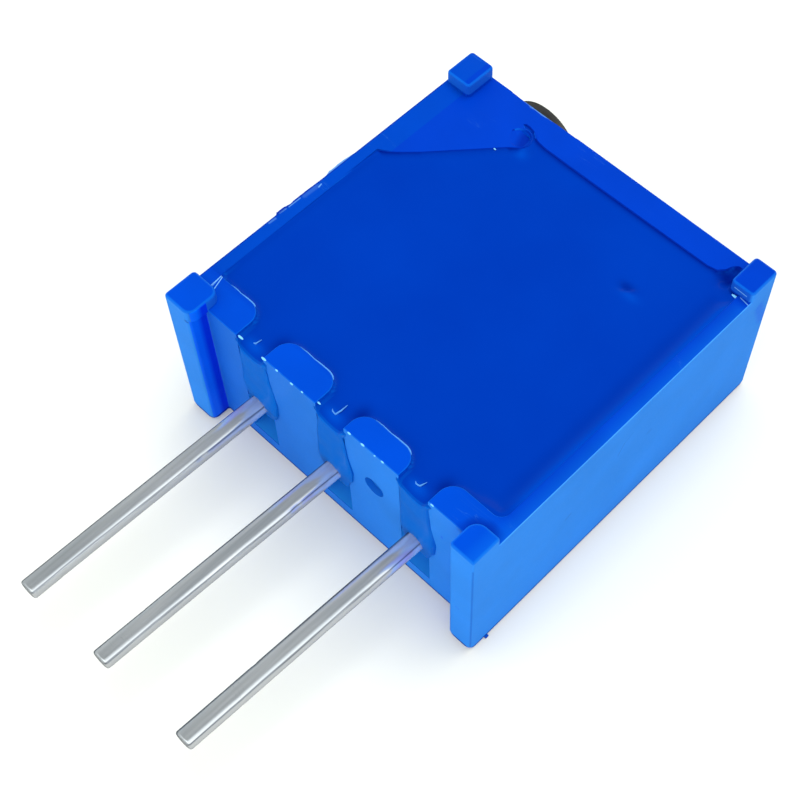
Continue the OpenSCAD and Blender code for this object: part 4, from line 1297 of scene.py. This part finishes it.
def resinMaterial(groups):
    looks = resinTones
    material, tree, shader, vector = newMaterial("castResin", looks["deep"], looks["rough"])
    shader.inputs["Specular IOR Level"].default_value = looks["specular"]
    shader.inputs["Specular Tint"].default_value = looks["tint"]
    grain = useGroup(tree, groups["grain"], vector, Fineness=3.0, Patches=0.35)
    specks = useGroup(tree, groups["specks"], vector, Spacing=0.8, Size=0.045)
    colour = mixColour(tree, rangeNode(tree, grain.outputs["Tone"], 0.3, 0.7),
                       looks["deep"], looks["pale"])
    face = tree.nodes.new("ShaderNodeNewGeometry")
    # Painted light: where the resin runs down the upright wall it is paler, as the side light makes
    # it, and rougher
    outside = rangeNode(tree, splitNode(tree, face.outputs["True Normal"])[2], 0.75, 0.15)
    colour = mixColour(tree, outside, colour, looks["outside"])
    depth = tree.nodes.new("ShaderNodeAttribute")
    depth.attribute_name = "tone"
    tone = depth.outputs["Fac"]
    # Painted shade, light and highlights from the per-vertex tone
    colour = mixColour(tree, rangeNode(tree, tone, -1.0, 0.0, 1.0, 0.0), colour, looks["shadow"])
    colour = mixColour(tree, rangeNode(tree, tone, 0.0, 1.0), colour, looks["light"])
    colour = mixColour(tree, rangeNode(tree, tone, 1.0, 2.0), colour, looks["glint"])
    colour = mixColour(tree, product(tree, specks.outputs["Mask"], 0.3), colour,
                       (0.2, 0.5, 0.9, 1))
    tree.links.new(colour, shader.inputs["Base Color"])
    rough = rangeNode(tree, grain.outputs["Height"], 0.2, 0.8, -0.03, 0.05)
    rough = mathNode(tree, "ADD", rough, rangeNode(tree, outside, 0.0, 1.0, looks["rough"],
                                                   looks["outsideRough"]))
    tree.links.new(rough, shader.inputs["Roughness"])
    bumpInto(tree, shader, mathNode(tree, "ADD", grain.outputs["Height"],
             product(tree, specks.outputs["Mask"], 0.4)), 0.25, 0.008)
    return material


wireLooks = {
    # Dull and bright are the tin's own streaks; the dark grey serves scratches and a painted dark
    # reflection line, the pale one is a painted bright reflection band, and the darkest paints
    # shade at the outline; lineAt and lineDark place and weigh the painted line
    "dull": (0.56, 0.62, 0.65, 1), "bright": (0.74, 0.79, 0.81, 1), "scratchAndDarkReflection": (0.20, 0.22, 0.25, 1),
    "rim": (0.07, 0.10, 0.14, 1), "flank": (0.88, 0.91, 0.92, 1), "lineAt": 0.66, "lineDark": 0.85,
    "metallic": 0.65, "roughLow": 0.09, "roughHigh": 0.20,
}


def wireMaterial(groups):
    looks = wireLooks
    material, tree, shader, vector = newMaterial("tinnedWire", looks["dull"], 0.15,
                                                 looks["metallic"])
    along = tree.nodes.new("ShaderNodeMapping")
    along.inputs["Scale"].default_value = (10.0, 0.35, 10.0)
    tree.links.new(vector, along.inputs["Vector"])
    streak = noiseNode(tree, along.outputs["Vector"], 1.0, 3.0, 0.5)
    scuffs = useGroup(tree, groups["scuffs"], vector, Amount=0.8, Turn=(0.0, 0.0, 1.45))
    grain = useGroup(tree, groups["grain"], vector, Fineness=9.0, Patches=1.2)
    colour = mixColour(tree, rangeNode(tree, streak, 0.3, 0.7), looks["dull"], looks["bright"])
    colour = mixColour(tree, product(tree, scuffs.outputs["Mask"], 0.5), colour,
                       looks["scratchAndDarkReflection"])
    # Painted reflection: a dark line runs along the wire, with a painted bright band below it
    face = tree.nodes.new("ShaderNodeNewGeometry")
    sideways, _, upwards = splitNode(tree, face.outputs["Normal"])
    around = mathNode(tree, "ARCTAN2", upwards, sideways)
    around = mathNode(tree, "ADD", around, rangeNode(tree, streak, 0.3, 0.7, -0.07, 0.07))
    away = mathNode(tree, "ABSOLUTE", mathNode(tree, "SUBTRACT", around, looks["lineAt"]))
    colour = mixColour(tree, rangeNode(tree, away, 0.05, 0.11, looks["lineDark"], 0.0), colour,
                       looks["scratchAndDarkReflection"])
    flank = rangeNode(tree, around, looks["lineAt"] - 0.22, looks["lineAt"] - 0.08, 1.0, 0.0)
    colour = mixColour(tree, flank, colour, looks["flank"])
    # Painted shade: the wire darkens towards its outline, and a painted dark reflection runs along
    # its upper left side
    turn = tree.nodes.new("ShaderNodeLayerWeight")
    turn.inputs["Blend"].default_value = 0.5
    colour = mixColour(tree, rangeNode(tree, turn.outputs["Facing"], 0.74, 0.95, 0.0, 0.45), colour,
                       looks["rim"])
    colour = mixColour(tree, rangeNode(tree, around, 2.16, 2.36, 0.0, 0.9), colour, looks["rim"])
    tree.links.new(colour, shader.inputs["Base Color"])
    tree.links.new(rangeNode(tree, streak, 0.25, 0.75, looks["roughLow"], looks["roughHigh"]),
                   shader.inputs["Roughness"])
    bumpInto(tree, shader, mathNode(tree, "ADD", streak,
             product(tree, grain.outputs["Height"], 0.15)), 0.2, 0.006)
    return material


def plainMaterial(groups, name, first, second, roughness, metallic, fineness,
                  stretch=(1, 1, 1), bump=0.3):
    # A finish of two tones of one colour with its own grain
    material, tree, shader, vector = newMaterial(name, first, roughness, metallic)
    along = tree.nodes.new("ShaderNodeMapping")
    along.inputs["Scale"].default_value = stretch
    tree.links.new(vector, along.inputs["Vector"])
    grain = useGroup(tree, groups["grain"], along.outputs["Vector"], Fineness=fineness, Patches=0.8)
    scuffs = useGroup(tree, groups["scuffs"], vector, Amount=0.4)
    mixed = product(tree, mathNode(tree, "ADD", grain.outputs["Tone"], grain.outputs["Height"]),
                    0.5)
    colour = mixColour(tree, rangeNode(tree, mixed, 0.35, 0.65), first, second)
    tree.links.new(colour, shader.inputs["Base Color"])
    rough = rangeNode(tree, grain.outputs["Height"], 0.25, 0.75, roughness - 0.06, roughness + 0.08)
    rough = mathNode(tree, "ADD", rough, product(tree, scuffs.outputs["Mask"], 0.15))
    tree.links.new(rough, shader.inputs["Roughness"])
    bumpInto(tree, shader, grain.outputs["Height"], bump, 0.006)
    return material


def makeMaterials():
    groups = {"grain": grainGroup(), "scuffs": scuffGroup(), "specks": speckGroup(),
              "streak": streakGroup()}

    def plain(*looks):
        return plainMaterial(groups, *looks)

    return {
        "blue_plastic": plasticMaterial(groups),
        "blue_resin": resinMaterial(groups),
        "pin_metal": wireMaterial(groups),
        "screw_metal": plain("turnedScrew", (0.060, 0.060, 0.056, 1), (0.10, 0.10, 0.094, 1),
                             0.45, 0.75, 5.0, (1, 9, 1), 0.35),
        "seal_rubber": plain("sealRubber", (0.012, 0.012, 0.012, 1), (0.03, 0.03, 0.03, 1),
                             0.72, 0.0, 9.0),
        "spring_steel": plain("rolledSteel", (0.42, 0.42, 0.41, 1), (0.58, 0.58, 0.56, 1),
                              0.3, 1.0, 4.0, (8, 1, 0.6)),
        "gear_plastic": plain("gearAcetal", (0.70, 0.66, 0.55, 1), (0.80, 0.77, 0.68, 1),
                              0.5, 0.0, 8.0),
        "wiper_alloy": plain("wiperAlloy", (0.62, 0.46, 0.18, 1), (0.78, 0.62, 0.30, 1),
                             0.28, 1.0, 4.0, (0.6, 8, 8)),
        "ceramic": plain("firedCeramic", (0.80, 0.80, 0.76, 1), (0.88, 0.88, 0.85, 1),
                         0.62, 0.0, 14.0),
        "resistive_film": plain("resistiveFilm", (0.012, 0.012, 0.014, 1), (0.04, 0.04, 0.045, 1),
                                0.5, 0.0, 16.0),
        "conductor_film": plain("conductorFilm", (0.50, 0.50, 0.48, 1), (0.66, 0.66, 0.64, 1),
                                0.42, 0.9, 14.0),
        "solder": plain("brightSolder", (0.52, 0.53, 0.54, 1), (0.70, 0.71, 0.72, 1),
                        0.24, 1.0, 3.0),
    }


materials = makeMaterials()
print("materials made:", len(materials))

nodeSlots = {
    "shaft_seal_ring": "seal_rubber", "screw_retaining_clip": "spring_steel",
    "rotor_gear": "gear_plastic", "wiper_contact": "wiper_alloy", "ceramic_plate": "ceramic",
    "resistance_track": "resistive_film", "collector_track": "conductor_film",
    "end_electrode_1": "conductor_film", "end_electrode_3": "conductor_film",
    "solder_joint_1": "solder", "solder_joint_2": "solder", "solder_joint_3": "solder",
}
for node, slot in nodeSlots.items():
    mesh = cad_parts[node].data
    if not mesh.materials:
        mesh.materials.append(None)
    for k in range(len(mesh.materials)):
        mesh.materials[k] = materials[slot]
print("inner nodes finished:", len(nodeSlots))

makeHousing(materials["blue_plastic"])
makeResin(materials["blue_resin"])
for k in range(3):
    makePin(k, materials["pin_metal"])
makeScrew(materials["screw_metal"])


stageLooks = {
    "floorTone": (0.90, 0.915, 0.84, 1), "floorInGloss": (0.21, 0.215, 0.215, 1),
    "floorSeen": (0.71, 0.73, 0.675, 1), "floorLift": 0.13,
    "skyTop": 0.82, "skyLow": 0.95, "skyFront": 0.70, "glowRight": 1.6, "glowFront": 0.8,
    "glowRound": 0.22, "zenith": 0.03,
    "keyPlace": (0.02, 0.09, 0.31), "keySize": (0.20, 0.20), "keyWatts": 0.55,
    "cameraPlace": (13.356, -14.756, 33.635),
    "right": (0.723051, 0.690755, 0.007352), "down": (0.60454, -0.627584, -0.490581),
    "forward": (-0.334257, 0.35916, -0.871364),
    "lens": 69.99, "shift": (-0.0729, 0.0319),
}


def makeFloor():
    clearPick()
    bpy.ops.mesh.primitive_plane_add(size=1.2, location=(0, 0, -0.01 * milli))
    floor = bpy.context.object
    floor.name = "floor"
    material, tree, shader, vector = newMaterial("paperFloor", stageLooks["floorTone"], 0.9)
    shader.inputs["Specular IOR Level"].default_value = 0.0
    path = tree.nodes.new("ShaderNodeLightPath")
    lit = mixColour(tree, path.outputs["Is Glossy Ray"], stageLooks["floorTone"],
                    stageLooks["floorInGloss"])
    tree.links.new(mixColour(tree, path.outputs["Is Camera Ray"], lit, stageLooks["floorSeen"]),
                   shader.inputs["Base Color"])
    # An overexposed backdrop: for the camera alone the floor is greyer and lifted
    shader.inputs["Emission Color"].default_value = (1, 1, 1, 1)
    tree.links.new(product(tree, path.outputs["Is Camera Ray"], stageLooks["floorLift"]),
                   shader.inputs["Emission Strength"])
    floor.data.materials.append(material)
    return floor


def makeWorld():
    # White all round for the diffuse light; in reflections, bright to the right and dark above
    s = stageLooks
    world = bpy.data.worlds.new("studio")
    bpy.context.scene.world = world
    world.use_nodes = True
    tree = world.node_tree
    tree.nodes.clear()
    out = tree.nodes.new("ShaderNodeOutputWorld")
    mix = tree.nodes.new("ShaderNodeMixShader")
    path = tree.nodes.new("ShaderNodeLightPath")
    sky = tree.nodes.new("ShaderNodeBackground")
    sky.inputs["Color"].default_value = (1, 1, 1, 1)
    seen = tree.nodes.new("ShaderNodeBackground")
    place = tree.nodes.new("ShaderNodeTexCoord")
    x, y, z = splitNode(tree, place.outputs["Generated"])
    height = rangeNode(tree, z, 0.1, 0.9, s["skyLow"], s["skyTop"])
    facing = rangeNode(tree, y, 0.1, -0.9, 0.0, s["skyFront"])
    tree.links.new(mathNode(tree, "ADD", height, facing), sky.inputs["Strength"])
    right = rangeNode(tree, x, -0.1, 0.6, 0.0, s["glowRight"])
    front = rangeNode(tree, mathNode(tree, "ABSOLUTE", y), 0.35, 0.9, 0.0, s["glowFront"])
    low = product(tree, rangeNode(tree, z, 0.52, 0.82, 1.0, 0.0),
                  rangeNode(tree, z, 0.0, 0.12, 0.1, 1.0))
    glow = mathNode(tree, "ADD", mathNode(tree, "ADD", right, front), s["glowRound"])
    tree.links.new(mathNode(tree, "ADD", product(tree, glow, low), s["zenith"]),
                   seen.inputs["Strength"])
    tree.links.new(path.outputs["Is Glossy Ray"], mix.inputs[0])
    tree.links.new(sky.outputs[0], mix.inputs[1])
    tree.links.new(seen.outputs[0], mix.inputs[2])
    tree.links.new(mix.outputs[0], out.inputs["Surface"])


def addSoftbox(name, place, target, size, watts, glossy=True):
    light = bpy.data.lights.new(name, "AREA")
    light.shape = "RECTANGLE"
    light.size, light.size_y = size
    light.energy = watts
    lamp = bpy.data.objects.new(name, light)
    bpy.context.scene.collection.objects.link(lamp)
    lamp.location = place
    aim = Vector(target) - Vector(place)
    lamp.rotation_euler = aim.to_track_quat("-Z", "Y").to_euler()
    lamp.visible_glossy = glossy
    return lamp


def makeCamera():
    s = stageLooks
    data = bpy.data.cameras.new("camera")
    camera = bpy.data.objects.new("camera", data)
    bpy.context.scene.collection.objects.link(camera)
    right, down, forward = (Vector(s[k]).normalized() for k in ("right", "down", "forward"))
    turn = Matrix((right, -down, -forward)).transposed().to_4x4()
    camera.matrix_world = Matrix.Translation(Vector(s["cameraPlace"]) * milli) @ turn
    data.sensor_width = 36
    data.lens = s["lens"]
    data.shift_x, data.shift_y = s["shift"]
    data.clip_start, data.clip_end = 0.001, 10
    data.dof.use_dof = False
    bpy.context.scene.camera = camera
    return camera


makeFloor()
makeWorld()
addSoftbox("key", stageLooks["keyPlace"], (0, 0, 0), stageLooks["keySize"],
           stageLooks["keyWatts"], False)
makeCamera()
bpy.context.scene.view_settings.view_transform = "Standard"
bpy.context.scene.view_settings.look = "None"
print("stage ready")
